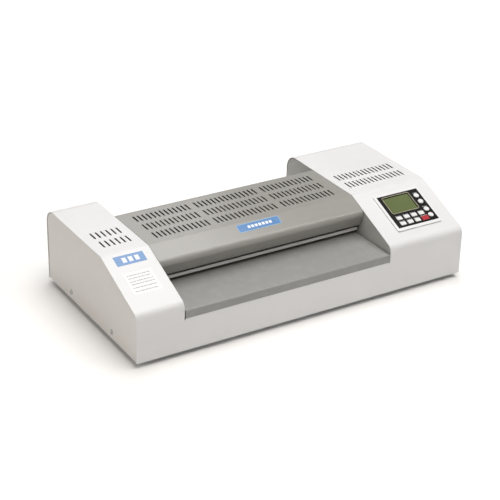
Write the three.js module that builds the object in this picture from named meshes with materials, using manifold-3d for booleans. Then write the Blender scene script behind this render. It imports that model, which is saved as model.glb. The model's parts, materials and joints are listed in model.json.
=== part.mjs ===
// A desktop roll laminator for pouches up to A3 wide, built as the pieces it comes apart into.
// Millimetres, +Z up. X runs from the left housing to the right one, and Y from the operator to the back.
// The origin is on the surface it stands on, under the middle of the body. Heights in this file are
// counted from the lower edge of the body, and the last lines lift the whole body onto its feet.

import * as THREE from "three";
import { mergeGeometries, mergeVertices } from "three/addons/utils/BufferGeometryUtils.js";
import Module from "manifold-3d";

const wasm = await Module();
wasm.setup();

// ---- Driving dimensions ----

// Body
const BODY_WIDTH = 560;
const BODY_DEPTH = 290;
const BODY_HEIGHT = 118;
const GROUND_CLEARANCE = 8;
const LEFT_HOUSING = 75; // width of the housing over the drive
const RIGHT_HOUSING = 135; // width of the housing over the electronics
const FRONT_HEIGHT = 74.5; // where the upright front would meet the slope
const SLOPE_RUN = 106.35; // how far back the slope reaches before the flat top
const FRONT_ROUND = 12;
const BREAK_ROUND = 2.5;
const BACK_ROUND = 24;
const SHEET = 1.2; // thickness of every painted sheet
const FIT = 0.3; // gap between two pieces that touch
const END_REVEAL = 1; // how far the wrap stands past a side panel

// Document path
const TABLE_HEIGHT = 63.2;
const TABLE_LIP = 12.2;
const TABLE_INNER = 44; // distance of a table's inner edge from the middle of the machine
const TABLE_GAP_LEFT = 1.8;
const TABLE_GAP_RIGHT = 0.7;
const TABLE_ROUND = 1.8;
const FEED_GAP = 5.8; // from the table up to the guide
const GUIDE_FRONT = 61;
const GUIDE_LIP = 5.5;
const GUIDE_END_GAP = 2.6;

// Top cover
const COVER_MOUTH = 65; // lower edge of the cover, from the middle of the machine
const COVER_MOUTH_HEIGHT = 77.5;
const COVER_HEM = 5; // how far the lower edge turns inwards
const COVER_HEM_ROUND = 3;
const COVER_FRONT = 74.3; // where the cover's face would meet its top
const COVER_FRONT_ROUND = 9;
const COVER_BACK_ROUND = 6;
const COVER_GAP = 0.6;

// Ventilation slots
const SLOT_LENGTH = 19.4;
const SLOT_WIDTH = 2.9;
const SLOT_ROW_PITCH = 29.7;
const COVER_SLOT_PITCH = 7.25;
const COVER_SLOT_MARGIN = 20;
const COVER_SLOT_GROUP_GAP = 14.6;
const COVER_SLOT_BACK_ROW = 44.8;
const LEFT_SLOT_PITCH = 8.27;
const LEFT_SLOT_MARGIN = 16;
const RIGHT_SLOT_PITCH = 7.18;
const RIGHT_SLOT_MARGIN = 17;
const HOUSING_SLOT_BACK_ROW = 24.3;
const HOUSING_SLOT_SHIFT = 1.6; // housing patterns sit this much towards the rollers

// Base
const PAN_SHEET = 1.5;
const PAN_FLANGE = 20;
const FOOT_RADIUS = 11;
const FOOT_INSET = 30;
const FOOT_STUD_RADIUS = 2;
const SIDE_SCREW_HEIGHT = 11.3;
const SIDE_SCREW_SPACING = 133.4;
const SIDE_SCREW_RADIUS = 1.6;

// Rollers and drive
const ROLLER_RADIUS = 14.85;
const ROLLER_INSET = 7; // from a cheek to the end of a sleeve
const ROLLER_HALF_PITCH = 28; // each pair of rollers, from the middle of the machine
const CORE_RADIUS = 11;
const JOURNAL_RADIUS = 5;
const FRAME_PLATE = 2.5;
const FRAME_STANDOFF = 3.7; // from a cheek to the frame plate behind it
const FRAME_HALF_DEPTH = 62;
const FRAME_TAB = { reach: 12, length: 20 }; // feet of a frame plate on the pan
const FRAME_ABOVE_AXIS = 19; // how far a frame plate reaches over the upper axes
const BEARING_SIZE = 16;
const BEARING_WIDTH = 5.6;
const NIP_LIFT = 1.5; // how far an upper roller can rise
const GEAR_PITCH = 1.5; // module that the gears come close to
const IDLER_DROP = 10.8; // about how far the idler hangs below the lower axes
const PINION_TEETH = 12;
const PINION_CLEARANCE = 1; // from the pinion's tips to the bracket under them
const ADDENDUM = 0.85; // in modules
const DEDENDUM = 1.2;
const GEAR_WIDTH = 8;
const GEAR_STANDOFF = 2.5;
const PRESSURE_ANGLE = THREE.MathUtils.degToRad(20);
const BACKLASH = 0.4;
const MOTOR_RADIUS = 25;
const MOTOR_CAN_RADIUS = 22;
const GEARBOX_LENGTH = 14;
const MOTOR_CAN_LENGTH = 22;
const MOTOR_SHAFT_RADIUS = 3;
const MOTOR_OFFSET = 12; // from the motor's middle down to its output shaft
const BRACKET_SHEET = 2;
const HEATER_GAP = 3.2; // from a sleeve to its heating shoe
const HEATER_SHEET = 3;

// Control panel, measured down the slope from the break
const PANEL_WIDTH = 82;
const PANEL_LENGTH = 76;
const PANEL_TOP = 14.5;
const PANEL_EDGE = 24; // from the outer side of the housing
const PANEL_THICKNESS = 1.7;
const PANEL_ROUND = 2.5;
const PANEL_LEDGE = 3; // how far the panel covers the edge of its opening
const DISPLAY = { x: -4.5, t: 24.75, width: 49, length: 33.9 }; // from the panel's middle and top edge
const BUTTON_TRAVEL = 0.8;
const BUTTON_RISE = 1;
const BUTTON_GAP = 0.35;
const BUTTON_FLANGE = 0.7;
const BUTTON_FLANGE_THICKNESS = 1.4;
const BUTTON_STEM = 2.8;
const ROUND_BUTTON_RADIUS = 4.25;
const KEY = { width: 9.5, length: 6.5 };
const STOP_KEY = { width: 12, length: 8, shift: 0.6 };
const KEY_COLUMNS = [-24.2, -10.6, 3, 16.8];
const KEY_ROWS = [52.5, 63.5];
const ROUND_COLUMN = 30.2;
const ROUND_ROWS = [17.8, 30.7, 47.3, 60];
const POST_RADIUS = 2;
const STEM_RADIUS = 1.5;
const SWITCH_SIZE = 4;
const BOARD_DEPTH = 6.4; // from the slope's surface down to the control board
const BOARD_THICKNESS = 1.6;

// Electrics
const INLET = { width: 52, height: 30, x: 58, z: 36, depth: 26 }; // x from the outer side, z of its middle
const INLET_FLANGE = 3;
const SOCKET = { wall: 3, width: 25, rim: 4, depth: 16 }; // wall beside it, and rim above and below it
const PIN = { pitch: 6.5, thickness: 2, height: 4, tip: 3 }; // tip is how far its end lies inside
const ROCKER = { width: 13, height: 20, depth: 9, x: 15, pivot: 3, tilt: THREE.MathUtils.degToRad(8) };
const ROCKER_FACE = { end: 4.8, middle: 3.9, edge: 1.5, back: -1 }; // out from the pivot
const ROCKER_GAP = 0.8;
const FAN_SIZE = 80;
const FAN_HEIGHT = 20;
const FAN_BORE = 38;
const FAN_TIP = 36;
const FAN_HUB = 15;
const FAN_BLADES = 7;
const FAN_BLADE = { thickness: 1.4, length: 16, pitch: Math.PI / 5 };
const FAN_STANDOFF = 5; // from the pan up to the fan's frame
const FAN_POST = { radius: 3, inset: 4 };
const FAN_SPOKE = { width: 3, height: 2 };
const FAN_INTAKE_SLOTS = 7;
const FAN_SETBACK = 8; // from the break of the slope back to the fan
const BOARD_MARGIN = { left: 22, right: 12, front: 10, back: 8 }; // main board, inside its housing
const BOARD_STANDOFF = 8;
const BOARD_POST = { radius: 2.5, inset: 5 };
const BOARD_PARTS = [ // place from the board's front left corner, footprint and height
  { x: 10, y: 12, width: 42, length: 34, height: 32 }, // transformer
  { x: 60, y: 14, width: 20, length: 16, height: 18 }, // front relay
  { x: 60, y: 38, width: 20, length: 16, height: 18 }, // rear relay
  { x: 12, y: 58, width: 30, length: 12, height: 24 }, // heat sink
  { x: 56, y: 62, width: 26, length: 10, height: 12 }, // terminal block
];

// Smoothness of the model
const ARC_STEP = THREE.MathUtils.degToRad(18);
const CIRCLE_STEPS = 16;

// ---- Dimensions that follow ----

const HALF_WIDTH = BODY_WIDTH / 2;
const HALF_DEPTH = BODY_DEPTH / 2;
const OPENING_LEFT = -HALF_WIDTH + LEFT_HOUSING;
const OPENING_RIGHT = HALF_WIDTH - RIGHT_HOUSING;
const OPENING_MIDDLE = (OPENING_LEFT + OPENING_RIGHT) / 2;
const OPENING_WIDTH = OPENING_RIGHT - OPENING_LEFT;
const BREAK_Y = -HALF_DEPTH + SLOPE_RUN;
const SLOPE_ANGLE = Math.atan2(BODY_HEIGHT - FRONT_HEIGHT, SLOPE_RUN);
const AXIS_SPACING = 2 * ROLLER_RADIUS + FIT; // the sleeves of a pair almost touch
const NIP_HEIGHT = TABLE_HEIGHT + FEED_GAP / 2;
const LOWER_AXIS = NIP_HEIGHT - AXIS_SPACING / 2;
const UPPER_AXIS = NIP_HEIGHT + AXIS_SPACING / 2;
const GEAR_TEETH = Math.round(AXIS_SPACING / GEAR_PITCH);
const GEAR_MODULE = AXIS_SPACING / GEAR_TEETH;
const IDLER_TEETH = Math.round((2 * Math.hypot(ROLLER_HALF_PITCH, IDLER_DROP)) / GEAR_MODULE) - GEAR_TEETH;
const IDLER_SPACING = (GEAR_MODULE * (GEAR_TEETH + IDLER_TEETH)) / 2;
const IDLER_AXIS = LOWER_AXIS - Math.sqrt(IDLER_SPACING ** 2 - ROLLER_HALF_PITCH ** 2);
const PINION_SPACING = (GEAR_MODULE * (IDLER_TEETH + PINION_TEETH)) / 2;
const PINION_TIP = GEAR_MODULE * (PINION_TEETH / 2 + ADDENDUM);
const CHEEK_LEFT = OPENING_LEFT - FIT * 2; // face of a cheek towards the rollers
const CHEEK_RIGHT = OPENING_RIGHT + FIT * 2;
const FRAME_LEFT = CHEEK_LEFT - SHEET - FRAME_STANDOFF; // face of a frame plate towards the rollers
const FRAME_RIGHT = CHEEK_RIGHT + SHEET + FRAME_STANDOFF;
const GEAR_FACE = FRAME_LEFT - FRAME_PLATE - GEAR_STANDOFF;
const BRACKET_FACE = GEAR_FACE - GEAR_WIDTH - GEAR_STANDOFF * 2;
const PAN_TOP = PAN_SHEET + FIT;
const PINION_LOWEST = PAN_TOP + BRACKET_SHEET + PINION_CLEARANCE + PINION_TIP;
const PINION_AXIS = Math.max(IDLER_AXIS - PINION_SPACING, PINION_LOWEST);
const PINION_Y = Math.sqrt(PINION_SPACING ** 2 - (IDLER_AXIS - PINION_AXIS) ** 2);
const PANEL_X = HALF_WIDTH - PANEL_EDGE - PANEL_WIDTH / 2;
const PANEL_FACE = FIT + PANEL_THICKNESS;

// ---- Finishes ----

/** A plain material with a colour, a roughness and a metalness. */
function finish(color, roughness, metalness = 0) {
  return new THREE.MeshStandardMaterial({ color, roughness, metalness });
}

const WHITE_PAINT = () => finish(0xebebec, 0.45);
const GREY_PAINT = () => finish(0xaeaca7, 0.5);
const ZINC = () => finish(0xa9adb0, 0.4, 0.9);
const STEEL = () => finish(0xc4c6c8, 0.25, 1);
const ALUMINIUM = () => finish(0xb9bbbd, 0.35, 0.9);
const SILICONE = () => finish(0x8c2f22, 0.7);
const BLACK_RUBBER = () => finish(0x1c1c1d, 0.85);
const BLACK_PLASTIC = () => finish(0x17181a, 0.4);
const WHITE_PLASTIC = () => finish(0xe9e9e6, 0.4);
const GEAR_NYLON = () => finish(0xe6e1d2, 0.5);
const RED_PLASTIC = () => finish(0xb3181d, 0.4);
const DISPLAY_GLASS = () => finish(0x6f7f55, 0.15);
const CIRCUIT_BOARD = () => finish(0x1f5a36, 0.5);

// ---- Solid geometry ----

const ORIGIN = new THREE.Vector2(0, 0);
const SECTION_TO_X = new THREE.Matrix4().makeBasis(
  new THREE.Vector3(0, 1, 0),
  new THREE.Vector3(0, 0, 1),
  new THREE.Vector3(1, 0, 0),
);
const LATHE_TO_X = new THREE.Matrix4().makeBasis(
  new THREE.Vector3(0, 0, 1),
  new THREE.Vector3(1, 0, 0),
  new THREE.Vector3(0, 1, 0),
);

/** Turns a closed geometry into a manifold solid. */
function toSolid(geometry) {
  const bare = geometry.clone();
  bare.deleteAttribute("normal");
  bare.deleteAttribute("uv");
  const merged = mergeVertices(bare, 1e-4);
  return new wasm.Manifold(
    new wasm.Mesh({
      numProp: 3,
      vertProperties: new Float32Array(merged.attributes.position.array),
      triVerts: new Uint32Array(merged.index.array),
    }),
  );
}

/** Turns a manifold solid back into a geometry. */
function toGeometry(solid) {
  const mesh = solid.getMesh();
  const geometry = new THREE.BufferGeometry();
  geometry.setAttribute("position", new THREE.BufferAttribute(mesh.vertProperties, 3));
  geometry.setIndex(new THREE.BufferAttribute(mesh.triVerts, 1));
  geometry.computeVertexNormals();
  return geometry;
}

/** Joins closed geometries that overlap into one. */
function join(...parts) {
  return toGeometry(parts.map(toSolid).reduce((whole, part) => whole.add(part)));
}

/** Cuts tools out of a body. A tool may be an array of geometries that stay clear of each other. */
function cut(body, ...tools) {
  const solids = tools.map((tool) => toSolid(Array.isArray(tool) ? mergeGeometries(tool) : tool));
  return toGeometry(solids.reduce((rest, tool) => rest.subtract(tool), toSolid(body)));
}

/** A box between two corners. */
function box([x0, y0, z0], [x1, y1, z1]) {
  const geometry = new THREE.BoxGeometry(x1 - x0, y1 - y0, z1 - z0);
  return geometry.translate((x0 + x1) / 2, (y0 + y1) / 2, (z0 + z1) / 2);
}

/** Extrudes a shape along Z between two heights. */
function extrudeZ(shape, low, high) {
  const settings = { depth: high - low, bevelEnabled: false, curveSegments: CIRCLE_STEPS / 2 };
  return new THREE.ExtrudeGeometry(shape, settings).translate(0, 0, low);
}

/** Extrudes a shape drawn in (Y, Z) along X between two places. */
function extrudeX(shape, start, end) {
  return extrudeZ(shape, 0, end - start).applyMatrix4(SECTION_TO_X).translate(start, 0, 0);
}

/** Turns a profile of [radius, x] pairs about the X axis. */
function turnX(profile, steps = CIRCLE_STEPS) {
  const points = profile.map(([radius, x]) => new THREE.Vector2(radius, x));
  return new THREE.LatheGeometry(points, steps).applyMatrix4(LATHE_TO_X);
}

/** A round bar along X. */
function barX(radius, start, end) {
  return turnX([[0, start], [radius, start], [radius, end], [0, end]]);
}

/** A round bar along Z at a place. */
function barZ(radius, low, high, x = 0, y = 0, steps = CIRCLE_STEPS) {
  const bar = new THREE.CylinderGeometry(radius, radius, high - low, steps).rotateX(Math.PI / 2);
  return bar.translate(x, y, (low + high) / 2);
}

/** A circle to use as a hole. */
function circle(x, y, radius) {
  return new THREE.Path().absarc(x, y, radius, 0, Math.PI * 2, true);
}

/** Walks through corners [a, b, radius], turning each corner that has a radius into an arc. */
function roundedLine(corners) {
  const line = [];
  const at = (i) => new THREE.Vector2(...corners[(i + corners.length) % corners.length]);
  corners.forEach(([, , radius = 0], i) => {
    const here = at(i);
    if (!radius) {
      line.push(here);
      return;
    }
    const back = at(i - 1).sub(here).normalize();
    const on = at(i + 1).sub(here).normalize();
    const half = Math.acos(back.dot(on)) / 2;
    const middle = back.clone().add(on).normalize().multiplyScalar(radius / Math.sin(half)).add(here);
    const first = back.clone().multiplyScalar(radius / Math.tan(half)).add(here).sub(middle);
    const last = on.clone().multiplyScalar(radius / Math.tan(half)).add(here).sub(middle);
    const sweep = Math.atan2(first.cross(last), first.dot(last));
    const steps = Math.max(2, Math.ceil(Math.abs(sweep) / ARC_STEP));
    for (let k = 0; k <= steps; k += 1) {
      line.push(first.clone().rotateAround(ORIGIN, (sweep * k) / steps).add(middle));
    }
  });
  return line;
}

/** Shifts a line sideways, to the left of its direction of travel. */
function offsetLine(line, distance) {
  const normal = (from, to) => new THREE.Vector2(from.y - to.y, to.x - from.x).normalize();
  return line.map((point, i) => {
    const before = normal(line[Math.max(i - 1, 0)], line[Math.max(i, 1)]);
    const after = normal(line[Math.min(i, line.length - 2)], line[Math.min(i + 1, line.length - 1)]);
    const reach = distance / (1 + before.dot(after));
    return before.add(after).multiplyScalar(reach).add(point);
  });
}

/** The section of a bent sheet whose outer skin follows a line. */
function sheetSection(line, thickness) {
  return new THREE.Shape([...line, ...offsetLine(line, thickness).reverse()]);
}

/** A rectangle with rounded corners, about a middle. */
function roundedRectangle(x, y, width, length, radius) {
  const [w, l] = [width / 2, length / 2];
  const corners = [[-w, -l], [w, -l], [w, l], [-w, l]].map(([a, b]) => [x + a, y + b, radius]);
  return new THREE.Shape(roundedLine(corners));
}

/** One ventilation slot, to cut through a sheet. */
function slotTool(x, y, low, high) {
  const [w, l] = [SLOT_WIDTH / 2, SLOT_LENGTH / 2];
  const outline = [[0, -l], [w, -l + w], [w, l - w], [0, l], [-w, l - w], [-w, -l + w]];
  const shape = new THREE.Shape(outline.map(([a, b]) => new THREE.Vector2(x + a, y + b)));
  return extrudeZ(shape, low, high);
}

/** Evenly spaced places about a middle. */
function spread(middle, count, pitch) {
  return Array.from({ length: count }, (_, i) => middle + (i - (count - 1) / 2) * pitch);
}

/** A named mesh at a place. */
function piece(name, geometry, material, x = 0, y = 0, z = 0) {
  const mesh = new THREE.Mesh(geometry, material);
  mesh.name = name;
  mesh.position.set(x, y, z);
  return mesh;
}

// ---- Painted casing ----

/** The housings' outline in (Y, Z), from the foot of the back over the top to the foot of the front. */
function housingLine() {
  return roundedLine([
    [HALF_DEPTH, 0],
    [HALF_DEPTH, BODY_HEIGHT, BACK_ROUND],
    [BREAK_Y, BODY_HEIGHT, BREAK_ROUND],
    [-HALF_DEPTH, FRONT_HEIGHT, FRONT_ROUND],
    [-HALF_DEPTH, 0],
  ]);
}

/** The slots of one housing, as tools. */
function housingSlots(middle, width, margin, pitch) {
  const count = Math.floor((width - 2 * margin) / pitch) + 1;
  const rows = [HOUSING_SLOT_BACK_ROW, HOUSING_SLOT_BACK_ROW - SLOT_ROW_PITCH];
  const low = BODY_HEIGHT - 2 * SHEET;
  return rows.flatMap((y) => {
    return spread(middle, count, pitch).map((x) => slotTool(x, y, low, BODY_HEIGHT + SHEET));
  });
}

/** The frame in which the slope is flat: X across, -Y down the slope, Z out of it. */
function slopeFrame() {
  const frame = new THREE.Matrix4().makeRotationX(SLOPE_ANGLE);
  return frame.setPosition(0, BREAK_Y, BODY_HEIGHT);
}

/** The opening in the slope under the control panel. */
function panelOpening() {
  const low = [PANEL_X - PANEL_WIDTH / 2 + PANEL_LEDGE, -PANEL_TOP - PANEL_LENGTH + PANEL_LEDGE, -3 * SHEET];
  const high = [PANEL_X + PANEL_WIDTH / 2 - PANEL_LEDGE, -PANEL_TOP - PANEL_LEDGE, 3 * SHEET];
  return box(low, high).applyMatrix4(slopeFrame());
}

/** The hole in the back for the mains inlet. */
function inletOpening() {
  const x = HALF_WIDTH - INLET.x;
  const [w, h] = [INLET.width / 2 + FIT, INLET.height / 2 + FIT];
  return box([x - w, HALF_DEPTH - 3 * SHEET, INLET.z - h], [x + w, HALF_DEPTH + SHEET, INLET.z + h]);
}

/** The white sheet that wraps both housings, cut down to a low wall in front of and behind the rollers. */
function outerCase() {
  const wrap = extrudeX(sheetSection(housingLine(), SHEET), -HALF_WIDTH, HALF_WIDTH);
  const wall = TABLE_HEIGHT - TABLE_LIP - FIT;
  const notch = box([OPENING_LEFT, -BODY_DEPTH, wall], [OPENING_RIGHT, BODY_DEPTH, 2 * BODY_HEIGHT]);
  const leftMiddle = (-HALF_WIDTH + OPENING_LEFT) / 2 + HOUSING_SLOT_SHIFT;
  const rightMiddle = (HALF_WIDTH + OPENING_RIGHT) / 2 - HOUSING_SLOT_SHIFT;
  const slots = [
    ...housingSlots(leftMiddle, LEFT_HOUSING, LEFT_SLOT_MARGIN, LEFT_SLOT_PITCH),
    ...housingSlots(rightMiddle, RIGHT_HOUSING, RIGHT_SLOT_MARGIN, RIGHT_SLOT_PITCH),
  ];
  const geometry = cut(wrap, notch, panelOpening(), inletOpening(), slots);
  return piece("outer_case", geometry, WHITE_PAINT());
}

/** A flat plate that fills the wrap's outline, from the given height up. */
function endPlate(bottom, holes) {
  const line = offsetLine(housingLine(), SHEET + FIT);
  line[0].y = bottom;
  line[line.length - 1].y = bottom;
  const shape = new THREE.Shape(line);
  shape.holes.push(...holes);
  return shape;
}

/** Side panels at both ends of the body. */
function sidePanels() {
  const places = spread(0, 2, SIDE_SCREW_SPACING);
  const screws = places.map((y) => circle(y, SIDE_SCREW_HEIGHT, SIDE_SCREW_RADIUS));
  const geometry = extrudeX(endPlate(0, screws), 0, SHEET);
  const start = HALF_WIDTH - END_REVEAL - SHEET;
  return [
    piece("left_side_panel", geometry, WHITE_PAINT(), -start - SHEET),
    piece("right_side_panel", geometry.clone(), WHITE_PAINT(), start),
  ];
}

/** Cheeks that close the housings towards the rollers, with room for every shaft. */
function cheeks() {
  const clearance = JOURNAL_RADIUS + NIP_LIFT + 1.5;
  const holes = [-ROLLER_HALF_PITCH, ROLLER_HALF_PITCH].flatMap((y) => [
    circle(y, LOWER_AXIS, clearance),
    circle(y, UPPER_AXIS, clearance),
  ]);
  const geometry = extrudeX(endPlate(PAN_TOP, holes), 0, SHEET);
  return [
    piece("left_cheek", geometry, GREY_PAINT(), CHEEK_LEFT - SHEET),
    piece("right_cheek", geometry.clone(), GREY_PAINT(), CHEEK_RIGHT),
  ];
}

/** Places of the cover's slots along X, in three groups of which the middle one is the longest. */
function coverSlotPlaces() {
  const room = OPENING_WIDTH - 2 * COVER_SLOT_MARGIN - 2 * COVER_SLOT_GROUP_GAP;
  const total = Math.floor(room / COVER_SLOT_PITCH) + 3;
  const outer = Math.floor((total - 2) / 3);
  const inner = total - 2 * outer;
  const reach = ((inner + outer - 2) / 2) * COVER_SLOT_PITCH + COVER_SLOT_GROUP_GAP;
  return [
    ...spread(OPENING_MIDDLE - reach, outer, COVER_SLOT_PITCH),
    ...spread(OPENING_MIDDLE, inner, COVER_SLOT_PITCH),
    ...spread(OPENING_MIDDLE + reach, outer, COVER_SLOT_PITCH),
  ];
}

/** The grey cover over the rollers. */
function topCover() {
  const fall = (COVER_FRONT + BREAK_Y) * Math.tan(SLOPE_ANGLE);
  const line = roundedLine([
    [COVER_MOUTH - COVER_HEM, COVER_MOUTH_HEIGHT],
    [COVER_MOUTH, COVER_MOUTH_HEIGHT, COVER_HEM_ROUND],
    [COVER_FRONT, BODY_HEIGHT, COVER_BACK_ROUND],
    [BREAK_Y, BODY_HEIGHT, BREAK_ROUND],
    [-COVER_FRONT, BODY_HEIGHT - fall, COVER_FRONT_ROUND],
    [-COVER_MOUTH, COVER_MOUTH_HEIGHT, COVER_HEM_ROUND],
    [-COVER_MOUTH + COVER_HEM, COVER_MOUTH_HEIGHT],
  ]);
  const skin = extrudeX(sheetSection(line, SHEET), OPENING_LEFT + COVER_GAP, OPENING_RIGHT - COVER_GAP);
  const rows = spread(COVER_SLOT_BACK_ROW - SLOT_ROW_PITCH, 3, SLOT_ROW_PITCH);
  const low = BODY_HEIGHT - 2 * SHEET;
  const slots = rows.flatMap((y) => {
    return coverSlotPlaces().map((x) => slotTool(x, y, low, BODY_HEIGHT + SHEET));
  });
  return piece("top_cover", cut(skin, slots), GREY_PAINT());
}

/** Feed table in front of the rollers and exit table behind them, each with a folded lip. */
function tables() {
  const table = (side) => {
    const line = roundedLine([
      [side * TABLE_INNER, TABLE_HEIGHT],
      [side * HALF_DEPTH, TABLE_HEIGHT, TABLE_ROUND],
      [side * HALF_DEPTH, TABLE_HEIGHT - TABLE_LIP],
    ]);
    const section = sheetSection(line, -side * SHEET);
    return extrudeX(section, OPENING_LEFT + TABLE_GAP_LEFT, OPENING_RIGHT - TABLE_GAP_RIGHT);
  };
  return [piece("feed_table", table(-1), GREY_PAINT()), piece("exit_table", table(1), GREY_PAINT())];
}

/** Aluminium guides that hold the work down into the rollers and catch it behind them. */
function guides() {
  const guide = (side) => {
    const height = TABLE_HEIGHT + FEED_GAP;
    const line = roundedLine([
      [side * TABLE_INNER, height],
      [side * GUIDE_FRONT, height],
      [side * GUIDE_FRONT, height + GUIDE_LIP],
    ]);
    const section = sheetSection(line, side * SHEET);
    return extrudeX(section, OPENING_LEFT + GUIDE_END_GAP, OPENING_RIGHT - GUIDE_END_GAP);
  };
  return [piece("feed_guide", guide(-1), ALUMINIUM()), piece("exit_guide", guide(1), ALUMINIUM())];
}

// ---- Base ----

/** Places of the four feet. */
function footPlaces() {
  const [x, y] = [HALF_WIDTH - FOOT_INSET, HALF_DEPTH - FOOT_INSET];
  return { front_left: [-x, -y], front_right: [x, -y], rear_left: [-x, y], rear_right: [x, y] };
}

/** Place of the fan in the right housing. */
function fanPlace() {
  const tabs = FRAME_RIGHT + FRAME_PLATE + FRAME_TAB.reach;
  const x = Math.max((OPENING_RIGHT + HALF_WIDTH) / 2, tabs + FAN_SIZE / 2 + FIT);
  return [x, BREAK_Y + FAN_SIZE / 2 + FAN_SETBACK];
}

/** The floor of the body, folded up at both ends where the side panels screw on. */
function basePan() {
  const end = HALF_WIDTH - END_REVEAL - SHEET - FIT;
  const edge = HALF_DEPTH - SHEET - FIT;
  const profile = [
    [-end, 0], [end, 0], [end, PAN_FLANGE], [end - PAN_SHEET, PAN_FLANGE],
    [end - PAN_SHEET, PAN_SHEET], [-end + PAN_SHEET, PAN_SHEET],
    [-end + PAN_SHEET, PAN_FLANGE], [-end, PAN_FLANGE],
  ];
  const shape = new THREE.Shape(profile.map(([x, z]) => new THREE.Vector2(x, z)));
  const pan = extrudeZ(shape, -edge, edge).rotateX(Math.PI / 2);
  const studs = Object.values(footPlaces()).map(([x, y]) => {
    return barZ(FOOT_STUD_RADIUS + FIT, -PAN_SHEET, 2 * PAN_SHEET, x, y);
  });
  const screws = [-end, end].flatMap((x) => spread(0, 2, SIDE_SCREW_SPACING).map((y) => {
    const hole = barX(SIDE_SCREW_RADIUS, x - 2 * PAN_SHEET, x + 2 * PAN_SHEET);
    return hole.translate(0, y, SIDE_SCREW_HEIGHT);
  }));
  const [fanX, fanY] = fanPlace();
  const intake = spread(fanX, FAN_INTAKE_SLOTS, COVER_SLOT_PITCH).map((x) => {
    return slotTool(x, fanY, -PAN_SHEET, 2 * PAN_SHEET);
  });
  return piece("base_pan", cut(pan, studs, screws, intake), ZINC());
}

/** Rubber feet, each with a stud that goes up through the pan. */
function feet() {
  const profile = [
    [0, -GROUND_CLEARANCE], [FOOT_RADIUS - 0.8, -GROUND_CLEARANCE], [FOOT_RADIUS, -GROUND_CLEARANCE + 0.8],
    [FOOT_RADIUS - 1.5, -FIT], [FOOT_STUD_RADIUS, -FIT], [FOOT_STUD_RADIUS, PAN_TOP + 2], [0, PAN_TOP + 2],
  ];
  const points = profile.map(([radius, z]) => new THREE.Vector2(radius, z));
  return Object.entries(footPlaces()).map(([name, [x, y]]) => {
    const geometry = new THREE.LatheGeometry(points, CIRCLE_STEPS).rotateX(Math.PI / 2);
    return piece(`${name}_foot`, geometry, BLACK_RUBBER(), x, y, 0);
  });
}

// ---- Rollers and drive ----

/** A frame plate that carries the rollers: lower shafts in holes, upper bearings in slots open at the top. */
function framePlate(name, face, side) {
  const top = UPPER_AXIS + FRAME_ABOVE_AXIS;
  const slot = BEARING_SIZE / 2 + FIT;
  const floor = UPPER_AXIS - slot;
  const notch = (y) => [[y + slot, top], [y + slot, floor], [y - slot, floor], [y - slot, top]];
  const outline = [
    [-FRAME_HALF_DEPTH, PAN_TOP], [FRAME_HALF_DEPTH, PAN_TOP], [FRAME_HALF_DEPTH, top],
    ...notch(ROLLER_HALF_PITCH), ...notch(-ROLLER_HALF_PITCH), [-FRAME_HALF_DEPTH, top],
  ];
  const shape = new THREE.Shape(outline.map(([y, z]) => new THREE.Vector2(y, z)));
  shape.holes.push(circle(-ROLLER_HALF_PITCH, LOWER_AXIS, JOURNAL_RADIUS + FIT));
  shape.holes.push(circle(ROLLER_HALF_PITCH, LOWER_AXIS, JOURNAL_RADIUS + FIT));
  if (side < 0) {
    shape.holes.push(circle(0, IDLER_AXIS, MOTOR_SHAFT_RADIUS + FIT));
  }
  const outer = face + side * FRAME_PLATE;
  const plate = extrudeX(shape, Math.min(face, outer), Math.max(face, outer));
  const tabs = [-1, 1].map((s) => {
    const [near, far] = [s * (FRAME_HALF_DEPTH - FRAME_TAB.length), s * FRAME_HALF_DEPTH];
    const reach = face + side * (FRAME_PLATE + FRAME_TAB.reach);
    return box(
      [Math.min(face, reach), Math.min(near, far), PAN_TOP],
      [Math.max(face, reach), Math.max(near, far), PAN_TOP + FRAME_PLATE],
    );
  });
  return piece(name, join(plate, ...tabs), ZINC());
}

/** Outline of a spur gear with involute flanks, one tooth pointing along `phase`. */
function gearOutline(teeth, phase) {
  const pitchRadius = (GEAR_MODULE * teeth) / 2;
  const baseRadius = pitchRadius * Math.cos(PRESSURE_ANGLE);
  const tip = pitchRadius + ADDENDUM * GEAR_MODULE;
  const root = pitchRadius - DEDENDUM * GEAR_MODULE;
  const involute = (angle) => Math.tan(angle) - angle;
  const thickness = Math.PI / teeth / 2 - BACKLASH / 4 / pitchRadius;
  const flank = (radius) => {
    const angle = Math.acos(Math.min(1, baseRadius / radius));
    return thickness + involute(PRESSURE_ANGLE) - involute(angle);
  };
  const start = Math.max(baseRadius, root);
  const profile = [[root, flank(start)], [(start + tip) / 2, flank((start + tip) / 2)], [tip, flank(tip)]];
  const points = [];
  for (let k = 0; k < teeth; k += 1) {
    const middle = phase + (2 * Math.PI * k) / teeth;
    const tooth = [...profile.map(([r, a]) => [r, -a]), ...profile.toReversed()];
    tooth.forEach(([r, a]) => points.push(new THREE.Vector2(r, 0).rotateAround(ORIGIN, middle + a)));
  }
  return points;
}

/** Phase of a gear that meshes with another whose phase is known, lying in a direction from it. */
function meshPhase(teeth, phase, direction, otherTeeth) {
  const turns = ((direction - phase) * teeth) / (2 * Math.PI);
  return direction + Math.PI - ((0.5 - turns) * 2 * Math.PI) / otherTeeth;
}

/** A spur gear along X with a round bore, centred on its axis. */
function gear(teeth, phase, bore) {
  const shape = new THREE.Shape(gearOutline(teeth, phase));
  if (bore) {
    shape.holes.push(circle(0, 0, bore));
  }
  return extrudeX(shape, GEAR_FACE - GEAR_WIDTH, GEAR_FACE);
}

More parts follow.
